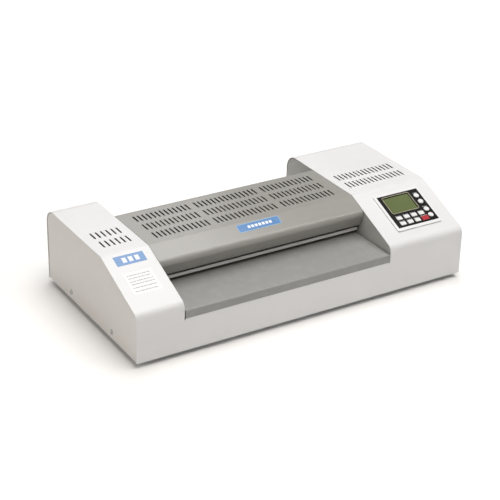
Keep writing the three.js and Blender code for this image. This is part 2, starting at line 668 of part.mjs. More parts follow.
/** One roller: a stepped steel shaft, a silicone sleeve and a gear pressed on the left end. */
function roller(name, y, z, phase) {
  const [sleeveStart, sleeveEnd] = [CHEEK_LEFT + ROLLER_INSET, CHEEK_RIGHT - ROLLER_INSET];
  const [start, end] = [GEAR_FACE - GEAR_WIDTH - 1.5, FRAME_RIGHT + FRAME_PLATE + 4];
  const shaft = turnX([
    [0, start], [JOURNAL_RADIUS, start], [JOURNAL_RADIUS, sleeveStart - 1], [CORE_RADIUS, sleeveStart - 1],
    [CORE_RADIUS, sleeveEnd + 1], [JOURNAL_RADIUS, sleeveEnd + 1], [JOURNAL_RADIUS, end], [0, end],
  ]);
  const bore = CORE_RADIUS + FIT;
  const sleeve = turnX([
    [bore, sleeveStart], [ROLLER_RADIUS, sleeveStart], [ROLLER_RADIUS, sleeveEnd],
    [bore, sleeveEnd], [bore, sleeveStart],
  ], 2 * CIRCLE_STEPS);
  return [
    piece(`${name}_shaft`, shaft, STEEL(), 0, y, z),
    piece(`${name}_sleeve`, sleeve, SILICONE(), 0, y, z),
    piece(`${name}_gear`, gear(GEAR_TEETH, phase, JOURNAL_RADIUS + FIT), GEAR_NYLON(), 0, y, z),
  ];
}

/** The two bearing blocks of an upper roller, which rise in the slots of the frame plates. */
function bearings(name, y) {
  const half = BEARING_SIZE / 2;
  const corners = [[-half, -half], [half, -half], [half, half], [-half, half]];
  const shape = new THREE.Shape(corners.map(([a, b]) => new THREE.Vector2(a, b)));
  shape.holes.push(circle(0, 0, JOURNAL_RADIUS + FIT));
  const geometry = extrudeX(shape, -BEARING_WIDTH / 2, BEARING_WIDTH / 2);
  const [left, right] = [FRAME_LEFT - FRAME_PLATE / 2, FRAME_RIGHT + FRAME_PLATE / 2];
  return [
    piece(`${name}_bearing_left`, geometry, BLACK_PLASTIC(), left, y, UPPER_AXIS),
    piece(`${name}_bearing_right`, geometry.clone(), BLACK_PLASTIC(), right, y, UPPER_AXIS),
  ];
}

/** Four rollers in two pairs, all geared together through one idler that a pinion drives. */
function drive() {
  const idlerDirection = Math.atan2(IDLER_AXIS - LOWER_AXIS, ROLLER_HALF_PITCH);
  const rearDirection = Math.atan2(LOWER_AXIS - IDLER_AXIS, ROLLER_HALF_PITCH);
  const pinionDirection = Math.atan2(PINION_AXIS - IDLER_AXIS, PINION_Y);
  const up = Math.PI / 2;
  const frontLower = 0;
  const frontUpper = meshPhase(GEAR_TEETH, frontLower, up, GEAR_TEETH);
  const idler = meshPhase(GEAR_TEETH, frontLower, idlerDirection, IDLER_TEETH);
  const rearLower = meshPhase(IDLER_TEETH, idler, rearDirection, GEAR_TEETH);
  const rearUpper = meshPhase(GEAR_TEETH, rearLower, up, GEAR_TEETH);
  const pinion = meshPhase(IDLER_TEETH, idler, pinionDirection, PINION_TEETH);
  const studEnd = GEAR_FACE - GEAR_WIDTH - 2;
  const stud = join(
    barX(MOTOR_SHAFT_RADIUS, studEnd, FRAME_LEFT + 1),
    barX(MOTOR_SHAFT_RADIUS + 2, GEAR_FACE + FIT, FRAME_LEFT - FRAME_PLATE - FIT),
  );
  const motorEnd = BRACKET_FACE - BRACKET_SHEET - GEARBOX_LENGTH + 4;
  const output = join(gear(PINION_TEETH, pinion, 0), barX(MOTOR_SHAFT_RADIUS, motorEnd, GEAR_FACE));
  const idlerGear = gear(IDLER_TEETH, idler, MOTOR_SHAFT_RADIUS + FIT);
  return [
    framePlate("left_frame_plate", FRAME_LEFT, -1),
    framePlate("right_frame_plate", FRAME_RIGHT, 1),
    ...roller("front_lower", -ROLLER_HALF_PITCH, LOWER_AXIS, frontLower),
    ...roller("front_upper", -ROLLER_HALF_PITCH, UPPER_AXIS, frontUpper),
    ...roller("rear_lower", ROLLER_HALF_PITCH, LOWER_AXIS, rearLower),
    ...roller("rear_upper", ROLLER_HALF_PITCH, UPPER_AXIS, rearUpper),
    ...bearings("front", -ROLLER_HALF_PITCH),
    ...bearings("rear", ROLLER_HALF_PITCH),
    piece("idler_stud", stud, STEEL(), 0, 0, IDLER_AXIS),
    piece("idler_gear", idlerGear, GEAR_NYLON(), 0, 0, IDLER_AXIS),
    piece("motor_pinion", output, STEEL(), 0, PINION_Y, PINION_AXIS),
    ...motor(),
  ];
}

/** The geared motor and the bracket that holds it to the pan. */
function motor() {
  const face = BRACKET_FACE - BRACKET_SHEET - FIT;
  const back = face - GEARBOX_LENGTH;
  const body = turnX([
    [0, back - MOTOR_CAN_LENGTH], [MOTOR_CAN_RADIUS, back - MOTOR_CAN_LENGTH], [MOTOR_CAN_RADIUS, back],
    [MOTOR_RADIUS, back], [MOTOR_RADIUS, face], [0, face],
  ]);
  const bore = barX(MOTOR_SHAFT_RADIUS + FIT, back + 2, face + 1).translate(0, 0, -MOTOR_OFFSET);
  const middle = PINION_AXIS + MOTOR_OFFSET;
  const half = MOTOR_RADIUS + 5;
  const [front, rear] = [PINION_Y - half, PINION_Y + half];
  const between = FRAME_HALF_DEPTH - FRAME_TAB.length - FIT; // room for the bracket's foot between the tabs
  const plate = cut(
    box([BRACKET_FACE - BRACKET_SHEET, front, PAN_TOP], [BRACKET_FACE, rear, middle + half]),
    barX(MOTOR_SHAFT_RADIUS + 3, face - 1, BRACKET_FACE + 1).translate(0, PINION_Y, PINION_AXIS),
  );
  const foot = box(
    [BRACKET_FACE - BRACKET_SHEET, Math.max(front, -between), PAN_TOP],
    [BRACKET_FACE + GEAR_STANDOFF + GEAR_WIDTH, Math.min(rear, between), PAN_TOP + BRACKET_SHEET],
  );
  return [
    piece("drive_motor", cut(body, bore), ZINC(), 0, PINION_Y, middle),
    piece("motor_bracket", join(plate, foot), ZINC()),
  ];
}

/** Heating shoes that wrap the outer half of each front roller. */
function heaters() {
  const inner = ROLLER_RADIUS + HEATER_GAP;
  const outer = inner + HEATER_SHEET;
  const shoe = (direction) => {
    const [from, to] = [direction - Math.PI / 3, direction + Math.PI / 3];
    const shape = new THREE.Shape();
    shape.absarc(0, 0, outer, from, to, false);
    shape.absarc(0, 0, inner, to, from, true);
    return extrudeX(shape, CHEEK_LEFT + FIT, CHEEK_RIGHT - FIT);
  };
  const up = Math.PI / 2;
  return [
    piece("upper_heater", shoe(up), ALUMINIUM(), 0, -ROLLER_HALF_PITCH, UPPER_AXIS),
    piece("lower_heater", shoe(-up), ALUMINIUM(), 0, -ROLLER_HALF_PITCH, LOWER_AXIS),
  ];
}

// ---- Control panel ----

/** Every button: its name, its outline about (0, 0), its place on the panel and its material. */
function buttonTable() {
  const key = () => roundedRectangle(0, 0, KEY.width, KEY.length, 0);
  const stop = () => roundedRectangle(0, 0, STOP_KEY.width, STOP_KEY.length, 0);
  const round = () => new THREE.Shape().absarc(0, 0, ROUND_BUTTON_RADIUS, 0, Math.PI * 2, false);
  const [upper, lower] = KEY_ROWS;
  return [
    ...ROUND_ROWS.map((t, i) => [`round_button_${i + 1}`, round, ROUND_COLUMN, t, WHITE_PLASTIC]),
    ...KEY_COLUMNS.map((x, i) => [`upper_key_${i + 1}`, key, x, upper, WHITE_PLASTIC]),
    ...KEY_COLUMNS.slice(0, -1).map((x, i) => [`lower_key_${i + 1}`, key, x, lower, WHITE_PLASTIC]),
    ["stop_key", stop, KEY_COLUMNS.at(-1) + STOP_KEY.shift, lower, RED_PLASTIC],
  ];
}

/** A shape grown outwards by a margin. */
function grown(shape, margin) {
  const points = shape.extractPoints(CIRCLE_STEPS / 2).shape;
  const [first] = points;
  const line = first.distanceTo(points.at(-1)) < 1e-6 ? points.slice(0, -1) : points;
  const ring = [line.at(-1), ...line, line[0]];
  const side = THREE.ShapeUtils.isClockWise(line) ? 1 : -1;
  return offsetLine(ring, side * margin).slice(1, -1);
}

/** The panel's plate with its openings, and posts down to the control board. */
function panelBezel(buttons) {
  const middle = -PANEL_TOP - PANEL_LENGTH / 2;
  const shape = roundedRectangle(PANEL_X, middle, PANEL_WIDTH, PANEL_LENGTH, PANEL_ROUND);
  const window = roundedRectangle(
    PANEL_X + DISPLAY.x, -PANEL_TOP - DISPLAY.t, DISPLAY.width + 2 * FIT, DISPLAY.length + 2 * FIT, 0,
  );
  const openings = buttons.map(([, outline, x, t]) => {
    const hole = new THREE.Shape(grown(outline(), BUTTON_GAP));
    return extrudeZ(hole, -1, PANEL_FACE + 1).translate(PANEL_X + x, -PANEL_TOP - t, 0);
  });
  const plate = cut(extrudeZ(shape, FIT, PANEL_FACE), extrudeZ(window, -1, PANEL_FACE + 1), openings);
  const inset = PANEL_LEDGE + POST_RADIUS + 1.5;
  const reach = [PANEL_WIDTH / 2 - inset, PANEL_LENGTH / 2 - inset];
  const posts = [[-1, -1], [1, -1], [1, 1], [-1, 1]].map(([a, b]) => {
    return barZ(POST_RADIUS, -BOARD_DEPTH + FIT, FIT + 1, PANEL_X + a * reach[0], middle + b * reach[1], 8);
  });
  return piece("panel_bezel", join(plate, ...posts), WHITE_PLASTIC());
}

/** One button: a cap, a flange that keeps it under the panel, and a stem over its switch. */
function button([name, outline, x, t, material]) {
  const low = -BUTTON_FLANGE_THICKNESS;
  const flange = new THREE.Shape(grown(outline(), BUTTON_FLANGE));
  const geometry = join(
    extrudeZ(outline(), low, PANEL_FACE + BUTTON_RISE),
    extrudeZ(flange, low, 0),
    barZ(STEM_RADIUS, low - BUTTON_STEM, low + 0.5, 0, 0, 8),
  );
  return piece(name, geometry, material(), PANEL_X + x, -PANEL_TOP - t, 0);
}

/** The display module behind its window. */
function displayModule() {
  const [w, l] = [DISPLAY.width / 2, DISPLAY.length / 2];
  const geometry = box([-w, -l, -BOARD_DEPTH + 2 * FIT], [w, l, PANEL_FACE - FIT]);
  return piece("display_module", geometry, DISPLAY_GLASS(), PANEL_X + DISPLAY.x, -PANEL_TOP - DISPLAY.t, 0);
}

/** The board under the panel, with a switch under every button. */
function controlBoard(buttons) {
  const middle = -PANEL_TOP - PANEL_LENGTH / 2;
  const [w, l] = [PANEL_WIDTH / 2 - PANEL_LEDGE - 1, PANEL_LENGTH / 2 - PANEL_LEDGE - 1];
  const top = -BOARD_DEPTH;
  const board = box([PANEL_X - w, middle - l, top - BOARD_THICKNESS], [PANEL_X + w, middle + l, top]);
  const switchTop = -BUTTON_FLANGE_THICKNESS - BUTTON_STEM - BUTTON_TRAVEL - FIT;
  const half = SWITCH_SIZE / 2;
  const switches = buttons.map(([, , x, t]) => {
    const [px, py] = [PANEL_X + x, -PANEL_TOP - t];
    return box([px - half, py - half, top - 0.5], [px + half, py + half, switchTop]);
  });
  return piece("control_board", join(board, ...switches), CIRCUIT_BOARD());
}

/** Everything on the slope of the right housing, in the frame of the slope. */
function controlPanel() {
  const group = new THREE.Group();
  group.position.set(0, BREAK_Y, BODY_HEIGHT);
  group.rotation.x = SLOPE_ANGLE;
  const buttons = buttonTable();
  group.add(panelBezel(buttons), displayModule(), controlBoard(buttons), ...buttons.map(button));
  return group;
}

// ---- Electrics ----

/** The mains inlet, with a well for the plug and a well for the power switch. */
function powerInlet() {
  const [w, h] = [INLET.width / 2, INLET.height / 2];
  const face = FIT + PANEL_THICKNESS;
  const body = box([-w, -INLET.depth, -h], [w, 2 * FIT, h]);
  const flange = box([-w - INLET_FLANGE, FIT, -h - INLET_FLANGE], [w + INLET_FLANGE, face, h + INLET_FLANGE]);
  const left = -w + SOCKET.wall;
  const well = box([left, -SOCKET.depth, -h + SOCKET.rim], [left + SOCKET.width, face + 1, h - SOCKET.rim]);
  const [pw, ph] = [PIN.thickness / 2, PIN.height / 2];
  const pins = spread(left + SOCKET.width / 2, 3, PIN.pitch).map((x) => {
    return box([x - pw, -SOCKET.depth - 1, -ph], [x + pw, -PIN.tip, ph]);
  });
  const [rw, rh] = [ROCKER.width / 2 + FIT, ROCKER.height / 2 + FIT];
  const rockerWell = box([ROCKER.x - rw, -ROCKER.depth - 2, -rh], [ROCKER.x + rw, face + 1, rh]);
  const geometry = join(cut(join(body, flange), well, rockerWell), ...pins);
  return piece("power_inlet", geometry, BLACK_PLASTIC(), HALF_WIDTH - INLET.x, HALF_DEPTH, INLET.z);
}

/** The power switch's rocker, a shallow V tilted about its pivot so that its upper end stands out. */
function rockerSwitch() {
  const half = ROCKER.height / 2 - ROCKER_GAP;
  const { end, middle, edge, back } = ROCKER_FACE;
  const outline = [[back, 0], [edge, -half], [end, -half], [middle, 0], [end, half], [edge, half]];
  const shape = new THREE.Shape(outline.map(([y, z]) => new THREE.Vector2(y, z)));
  const geometry = extrudeX(shape, -ROCKER.width / 2, ROCKER.width / 2).rotateX(-ROCKER.tilt);
  const x = HALF_WIDTH - INLET.x + ROCKER.x;
  return piece("rocker_switch", geometry, BLACK_PLASTIC(), x, HALF_DEPTH - ROCKER.pivot, INLET.z);
}

/** A flat fan on posts over the intake slots of the pan. */
function fan() {
  const [x, y] = fanPlace();
  const half = FAN_SIZE / 2;
  const low = PAN_TOP + FAN_STANDOFF;
  const shape = roundedRectangle(0, 0, FAN_SIZE, FAN_SIZE, FAN_POST.inset);
  shape.holes.push(circle(0, 0, FAN_BORE));
  const corner = half - FAN_POST.inset;
  const posts = [[-1, -1], [1, -1], [1, 1], [-1, 1]].map(([a, b]) => {
    return barZ(FAN_POST.radius, PAN_TOP, low + 1, a * corner, b * corner, 8);
  });
  const [reach, side] = [FAN_BORE + 1, FAN_SPOKE.width / 2];
  const spokes = [1, 3].map((k) => {
    return box([-reach, -side, low], [reach, side, low + FAN_SPOKE.height]).rotateZ((k * Math.PI) / 4);
  });
  const seatTop = low + FAN_SPOKE.height + 1;
  const seat = barZ(FAN_HUB, low, seatTop);
  const frame = join(extrudeZ(shape, low, low + FAN_HEIGHT), ...posts, ...spokes, seat);
  const [bladeLow, bladeHigh] = [low + FAN_STANDOFF, low + FAN_HEIGHT - 2];
  const [thick, long] = [FAN_BLADE.thickness / 2, FAN_BLADE.length / 2];
  const blades = Array.from({ length: FAN_BLADES }, (_, i) => {
    const blade = box([FAN_HUB - 2, -thick, -long], [FAN_TIP, thick, long]).rotateX(FAN_BLADE.pitch);
    return blade.translate(0, 0, (bladeLow + bladeHigh) / 2).rotateZ((2 * Math.PI * i) / FAN_BLADES);
  });
  const rotor = join(barZ(FAN_HUB, seatTop + FIT, bladeHigh), ...blades);
  return [
    piece("fan_frame", frame, BLACK_PLASTIC(), x, y, 0),
    piece("fan_rotor", rotor, BLACK_PLASTIC(), x, y, 0),
  ];
}

/** The power board on standoffs at the front of the right housing, with its main components. */
function mainBoard() {
  const [x0, x1] = [OPENING_RIGHT + BOARD_MARGIN.left, HALF_WIDTH - BOARD_MARGIN.right];
  const [y0, y1] = [-HALF_DEPTH + BOARD_MARGIN.front, BREAK_Y - BOARD_MARGIN.back];
  const level = PAN_TOP + BOARD_STANDOFF;
  const sunk = level + BOARD_THICKNESS / 2;
  const parts = BOARD_PARTS.map(({ x, y, width, length, height }) => {
    const [left, front] = [x0 + x, y0 + y];
    return box([left, front, sunk], [left + width, front + length, level + BOARD_THICKNESS + height]);
  });
  const { inset, radius } = BOARD_POST;
  const corners = [x0 + inset, x1 - inset].flatMap((x) => [y0 + inset, y1 - inset].map((y) => [x, y]));
  const posts = corners.map(([x, y]) => barZ(radius, PAN_TOP, sunk, x, y, 8));
  const board = box([x0, y0, level], [x1, y1, level + BOARD_THICKNESS]);
  const geometry = join(board, ...posts, ...parts);
  return piece("main_board", geometry, CIRCUIT_BOARD());
}

// ---- Assembly ----

const laminator = new THREE.Group();
laminator.position.z = GROUND_CLEARANCE;
laminator.add(
  basePan(),
  ...feet(),
  outerCase(),
  ...sidePanels(),
  ...cheeks(),
  topCover(),
  ...tables(),
  ...guides(),
  ...drive(),
  ...heaters(),
  controlPanel(),
  powerInlet(),
  rockerSwitch(),
  ...fan(),
  mainBoard(),
);

export default laminator;
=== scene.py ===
"""A desktop roll laminator for pouches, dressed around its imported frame.

The painted sheets, the keypad and the rubber and plastic pieces are modelled here at their real size, and the
machinery inside keeps its own solids and gets its finishes. Everything is in metres.
"""

import json
import logging
import math
from collections.abc import Callable, Iterator
from contextlib import contextmanager
from dataclasses import dataclass
from enum import Enum

import bmesh
import bpy
from mathutils import Matrix, Vector


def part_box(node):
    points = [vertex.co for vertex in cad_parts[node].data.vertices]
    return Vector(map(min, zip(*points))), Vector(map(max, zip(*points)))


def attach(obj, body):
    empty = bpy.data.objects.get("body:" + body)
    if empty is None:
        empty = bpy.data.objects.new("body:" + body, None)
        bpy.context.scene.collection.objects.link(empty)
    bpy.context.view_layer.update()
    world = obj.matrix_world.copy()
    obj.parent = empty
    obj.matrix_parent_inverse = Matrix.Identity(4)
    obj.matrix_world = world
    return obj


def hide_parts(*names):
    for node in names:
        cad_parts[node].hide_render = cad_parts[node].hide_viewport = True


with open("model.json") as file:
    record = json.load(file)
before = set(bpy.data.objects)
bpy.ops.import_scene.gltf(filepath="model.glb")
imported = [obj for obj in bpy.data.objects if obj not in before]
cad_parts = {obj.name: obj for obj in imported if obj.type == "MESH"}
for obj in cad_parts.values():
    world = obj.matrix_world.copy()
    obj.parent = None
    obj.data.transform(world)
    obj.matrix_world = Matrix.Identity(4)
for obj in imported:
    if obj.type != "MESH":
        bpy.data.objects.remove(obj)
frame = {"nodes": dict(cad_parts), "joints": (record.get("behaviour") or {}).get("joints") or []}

LOG = logging.getLogger("laminator")
MM = 0.001
Colour = tuple[float, float, float]
Place = tuple[float, float, float]
Test = Callable[[Vector, Vector], bool]
Bar = tuple[float, float, float, float]

SHEET = 1.2 * MM
SKIN = 0.8 * MM
SMALL = 0.3 * MM
SLOPE_RUN = 106.35 * MM
SLOPE_RISE = 43.5 * MM
FRONT_ROUND = 12 * MM
BREAK_ROUND = 2.5 * MM
BACK_ROUND = 24 * MM
SLOT_LENGTH = 19.4 * MM
SLOT_WIDTH = 2.9 * MM
SLOT_ROW_PITCH = 29.7 * MM
SLOT_CUTTER = 6 * MM
ROUND_END = 0.499  # of a slot's width, just short of where its two rounds meet
SLOPE_ANGLE = math.atan2(SLOPE_RISE, SLOPE_RUN)

FACING = 0.9  # how squarely a face looks along an axis to count as facing it
CUTTER = 9 * MM  # a height that clears any flat piece
PRINT = 0.04 * MM  # how thick printed ink is
FLOAT = 0.01 * MM  # how far a film lies over its ground
SMOOTH_ANGLE = math.radians(35)
NORMAL_WEIGHT = 60


# ---------------------------------------------------------------------------------------------------------
# Bench work: small steps of modelling
# ---------------------------------------------------------------------------------------------------------


class Axis(Enum):
    """The axis that a round piece turns about, as the turn that lays it there."""

    X = (0.0, math.pi / 2, 0.0)
    Y = (math.pi / 2, 0.0, 0.0)
    Z = (0.0, 0.0, 0.0)


def clear_selection() -> None:
    """Leaves nothing selected."""
    bpy.ops.object.select_all(action="DESELECT")


def take(piece: bpy.types.Object) -> None:
    """Makes one piece the only selected and the active one.

    Args:
        piece: The piece to work on.
    """
    clear_selection()
    piece.select_set(True)
    bpy.context.view_layer.objects.active = piece


@contextmanager
def editing(piece: bpy.types.Object) -> Iterator[None]:
    """Opens a piece in edit mode with all of it selected, and closes it again.

    Args:
        piece: The piece to edit.
    """
    take(piece)
    bpy.ops.object.mode_set(mode="EDIT")
    bpy.ops.mesh.select_all(action="SELECT")
    yield
    bpy.ops.object.mode_set(mode="OBJECT")


def pick_faces(piece: bpy.types.Object, test: Test) -> None:
    """Selects the faces whose middle and normal pass a test, and nothing else.

    Args:
        piece: The piece in edit mode.
        test: Takes a face's middle and its normal.
    """
    bpy.ops.mesh.select_mode(type="FACE")
    bpy.ops.mesh.select_all(action="DESELECT")
    mesh = bmesh.from_edit_mesh(piece.data)
    for face in mesh.faces:
        face.select_set(test(face.calc_center_median(), face.normal))
    bmesh.update_edit_mesh(piece.data)


def pick_edges(piece: bpy.types.Object, test: Test) -> None:
    """Selects the edges whose two ends pass a test, and nothing else.

    Args:
        piece: The piece in edit mode.
        test: Takes an edge's two ends.
    """
    bpy.ops.mesh.select_mode(type="EDGE")
    bpy.ops.mesh.select_all(action="DESELECT")
    mesh = bmesh.from_edit_mesh(piece.data)
    for edge in mesh.edges:
        edge.select_set(test(edge.verts[0].co, edge.verts[1].co))
    bmesh.update_edit_mesh(piece.data)


def block(name: str, low: Place, high: Place) -> bpy.types.Object:
    """Adds a box between two corners.

    Args:
        name: The piece's name.
        low: Its lowest corner.
        high: Its highest corner.

    Returns:
        The new piece, with its origin at the world's origin.
    """
    clear_selection()
    middle = [(a + b) / 2 for a, b in zip(low, high)]
    size = [b - a for a, b in zip(low, high)]
    bpy.ops.mesh.primitive_cube_add(size=1, location=middle, scale=size)
    return settle(name)


def disc(
    name: str, middle: Place, radius: float, depth: float, axis: Axis = Axis.Z, sides: int = 48
) -> bpy.types.Object:
    """Adds a round bar about its middle.

    Args:
        name: The piece's name.
        middle: The bar's middle.
        radius: Its radius.
        depth: Its length along the axis.
        axis: The axis it lies along.
        sides: How many sides it has.

    Returns:
        The new piece, with its origin at the world's origin.
    """
    clear_selection()
    bpy.ops.mesh.primitive_cylinder_add(
        vertices=sides, radius=radius, depth=depth, location=middle, rotation=axis.value
    )
    return settle(name)


def settle(name: str) -> bpy.types.Object:
    """Names the new primitive and puts its place into its mesh.

    Args:
        name: The piece's name.

    Returns:
        The named piece.
    """
    piece = bpy.context.active_object
    bpy.ops.object.transform_apply(location=True, rotation=True, scale=True)
    piece.name = name
    piece.data.name = name
    return piece


def bisect(piece: bpy.types.Object, point: Place, outward: Place, keep: bool = False) -> None:
    """Cuts away all that lies beyond a plane and closes the cut, or only draws the cut's line.

    Args:
        piece: The piece to cut.
        point: A point on the plane.
        outward: The plane's normal, towards what is cut away.
        keep: Whether to leave both sides.
    """
    with editing(piece):
        bpy.ops.mesh.bisect(plane_co=point, plane_no=outward, use_fill=not keep, clear_outer=not keep)


def round_edges(piece: bpy.types.Object, test: Test, width: float, segments: int) -> None:
    """Rounds the edges whose ends pass a test.

    Args:
        piece: The piece to work on.
        test: Takes an edge's two ends.
        width: How far the round reaches along each face.
        segments: How many faces make the round.
    """
    with editing(piece):
        pick_edges(piece, test)
        bpy.ops.mesh.bevel(offset=width, offset_type="OFFSET", segments=segments, profile=0.5, affect="EDGES")


def prism(name: str, low: Place, high: Place, radius: float, segments: int) -> bpy.types.Object:
    """Adds a box with its upright edges rounded.

    Args:
        name: The piece's name.
        low: Its lowest corner.
        high: Its highest corner.
        radius: The radius of the rounds.
        segments: How many faces make each round.

    Returns:
        The new piece.
    """
    piece = block(name, low, high)
    half = (high[2] - low[2]) / 2
    round_edges(piece, lambda a, b: abs(a.z - b.z) > half, radius, segments)
    return piece


def remove_faces(piece: bpy.types.Object, test: Test) -> None:
    """Deletes the faces whose middle and normal pass a test.

    Args:
        piece: The piece to open.
        test: Takes a face's middle and its normal.
    """
    with editing(piece):
        pick_faces(piece, test)
        bpy.ops.mesh.delete(type="FACE")


def modify(piece: bpy.types.Object, kind: str, **settings: object) -> None:
    """Adds one modifier and applies it.

    Args:
        piece: The piece to change.
        kind: The modifier's type.
        **settings: Its properties.
    """
    take(piece)
    modifier = piece.modifiers.new(kind.title(), kind)
    for key, value in settings.items():
        setattr(modifier, key, value)
    bpy.ops.object.modifier_apply(modifier=modifier.name)


def copies(pattern: bpy.types.Object, shifts: list[Place]) -> list[bpy.types.Object]:
    """Copies a piece to other places, each copy with its own mesh.

    Args:
        pattern: The piece to copy, which stays as it is.
        shifts: How far each copy is moved.

    Returns:
        The copies.
    """
    made = []
    for shift in shifts:
        twin = pattern.copy()
        twin.data = pattern.data.copy()
        twin.data.transform(Matrix.Translation(shift))
        bpy.context.scene.collection.objects.link(twin)
        made.append(twin)
    return made


def fuse(piece: bpy.types.Object, other: bpy.types.Object) -> None:
    """Unites another closed piece with a piece, and removes it.

    Args:
        piece: The piece that grows.
        other: The piece that goes into it.
    """
    modify(piece, "BOOLEAN", operation="UNION", object=other, solver="EXACT")
    discard(other)


def join(name: str, pieces: list[bpy.types.Object]) -> bpy.types.Object:
    """Joins pieces into one object.

    Args:
        name: The joined piece's name.
        pieces: What is joined.

    Returns:
        The joined piece.
    """
    take(pieces[0])
    for piece in pieces[1:]:
        piece.select_set(True)
    if len(pieces) > 1:
        bpy.ops.object.join()
    pieces[0].name = name
    pieces[0].data.name = name
    return pieces[0]


def discard(piece: bpy.types.Object) -> None:
    """Removes a piece that only served as a tool or a pattern."""
    bpy.data.objects.remove(piece, do_unlink=True)


def carve(piece: bpy.types.Object, tools: list[bpy.types.Object]) -> None:
    """Cuts tools out of a piece and removes them.

    Args:
        piece: The piece to cut.
        tools: Closed pieces that stay clear of each other.
    """
    tool = join("tool", tools)
    modify(piece, "BOOLEAN", operation="DIFFERENCE", object=tool, solver="EXACT")
    discard(tool)


def soften(piece: bpy.types.Object, width: float, segments: int = 2, angle: float = 40.0) -> None:
    """Breaks the sharp edges of a piece and shades it as a smooth one.

    Args:
        piece: The finished shape.
        width: The width of the broken edges, or 0 to leave them.
        segments: How many faces make each broken edge.
        angle: Edges sharper than this many degrees are broken.
    """
    if width:
        modify(
            piece, "BEVEL", width=width, segments=segments, limit_method="ANGLE",
            angle_limit=math.radians(angle), use_clamp_overlap=True, miter_outer="MITER_ARC",
        )
    take(piece)
    bpy.ops.object.shade_smooth_by_angle(angle=SMOOTH_ANGLE)
    modify(piece, "WEIGHTED_NORMAL", keep_sharp=True, weight=NORMAL_WEIGHT)


def move(piece: bpy.types.Object, matrix: Matrix) -> None:
    """Turns and shifts a piece, and puts that into its mesh.

    Args:
        piece: The piece to place.
        matrix: Where it goes.
    """
    take(piece)
    piece.matrix_world = matrix
    bpy.ops.object.transform_apply(location=True, rotation=True, scale=True)


def cut_slots(piece: bpy.types.Object, places: list[tuple[float, float]], level: float) -> None:
    """Cuts ventilation slots through a flat sheet.

    Args:
        piece: The sheet.
        places: The middle of each slot, in X and Y.
        level: The height of the sheet.
    """
    half = Vector((SLOT_WIDTH, SLOT_LENGTH, SLOT_CUTTER)) / 2
    bar = prism("slot_cutter", tuple(-half), tuple(half), SLOT_WIDTH * ROUND_END, 5)
    tools = copies(bar, [(x, y, level) for x, y in places])
    discard(bar)
    carve(piece, tools)


def spread(middle: float, count: int, pitch: float) -> list[float]:
    """Evenly spaced places about a middle.

    Args:
        middle: Their middle.
        count: How many there are.
        pitch: The distance from one to the next.

    Returns:
        The places, lowest first.
    """
    return [middle + (i - (count - 1) / 2) * pitch for i in range(count)]


# ---------------------------------------------------------------------------------------------------------
# Shared effects, as node groups
# ---------------------------------------------------------------------------------------------------------


@dataclass
class Wiring:
    """Adds and links the nodes of one tree."""

    tree: bpy.types.NodeTree

    def add(self, kind: str, inputs: dict | None = None, **settings: object) -> bpy.types.Node:
        """Adds a node.

        Args:
            kind: The node's type.
            inputs: Socket names or numbers, each with a value or the socket that feeds it.
            **settings: The node's own properties.

        Returns:
            The node.
        """
        node = self.tree.nodes.new(kind)
        for key, value in settings.items():
            setattr(node, key, value)
        for key, value in (inputs or {}).items():
            if isinstance(value, bpy.types.NodeSocket):
                self.tree.links.new(value, node.inputs[key])
            else:
                node.inputs[key].default_value = value
        return node

    def maths(
        self, operation: str, first: object, second: object = 0.0, third: object = 0.0
    ) -> bpy.types.NodeSocket:
        """Adds a Math node and returns its result.

        Args:
            operation: What it does.
            first: Its first value or socket.
            second: Its second.
            third: Its third.

        Returns:
            The result's socket.
        """
        inputs = {0: first, 1: second, 2: third}
        return self.add("ShaderNodeMath", inputs, operation=operation).outputs[0]

    def noise(self, vector: object, scale: object, detail: float, **inputs: float) -> bpy.types.NodeSocket:
        """Adds a Noise Texture.

        Args:
            vector: The socket that gives its place.
            scale: Its scale, a value or a socket.
            detail: Its detail.
            **inputs: Its other inputs, by name.

        Returns:
            The noise's socket.
        """
        found = {"Vector": vector, "Scale": scale, "Detail": detail, **inputs}
        return self.add("ShaderNodeTexNoise", found).outputs[0]

    def group(self, name: str, vector: object, **inputs: float) -> dict:
        """Adds a shared effect.

        Args:
            name: The effect's name.
            vector: The socket that gives its place.
            **inputs: Its other input, by name.

        Returns:
            Its output sockets, by name.
        """
        return self.add("ShaderNodeGroup", {"Vector": vector, **inputs}, node_tree=effect(name)).outputs

    def mix(self, factor: object, first: object, second: object) -> bpy.types.NodeSocket:
        """Mixes two colours.

        Args:
            factor: How much of the second, a value or a socket.
            first: A colour or a socket.
            second: A colour or a socket.

        Returns:
            The mixed colour's socket.
        """
        node = self.add("ShaderNodeMix", {0: factor, 6: first, 7: second}, data_type="RGBA")
        return node.outputs[2]

    def ramp(self, value: object, low: float, high: float) -> bpy.types.NodeSocket:
        """Spreads a stretch of values over 0 to 1, clamped.

        Args:
            value: The socket to read.
            low: What becomes 0.
            high: What becomes 1.

        Returns:
            The result's socket.
        """
        node = self.add("ShaderNodeMapRange", {0: value, 1: low, 2: high, 3: 0.0, 4: 1.0})
        return node.outputs[0]


def new_group(
    name: str, inputs: dict[str, float | None], outputs: list[str]
) -> tuple[Wiring, dict, bpy.types.Node]:
    """Starts a shader node group.

    Args:
        name: The group's name.
        inputs: Input names, each with its default, or None for a vector.
        outputs: Names of the values it puts out.

    Returns:
        The wiring of its tree, its input sockets by name and its output node.
    """
    tree = bpy.data.node_groups.new(name, "ShaderNodeTree")
    for key, default in inputs.items():
        kind = "NodeSocketVector" if default is None else "NodeSocketFloat"
        socket = tree.interface.new_socket(key, in_out="INPUT", socket_type=kind)
        if default is not None:
            socket.default_value = default
    for key in outputs:
        tree.interface.new_socket(key, in_out="OUTPUT", socket_type="NodeSocketFloat")
    wiring = Wiring(tree)
    entry = wiring.add("NodeGroupInput")
    return wiring, {key: entry.outputs[key] for key in inputs}, wiring.add("NodeGroupOutput")


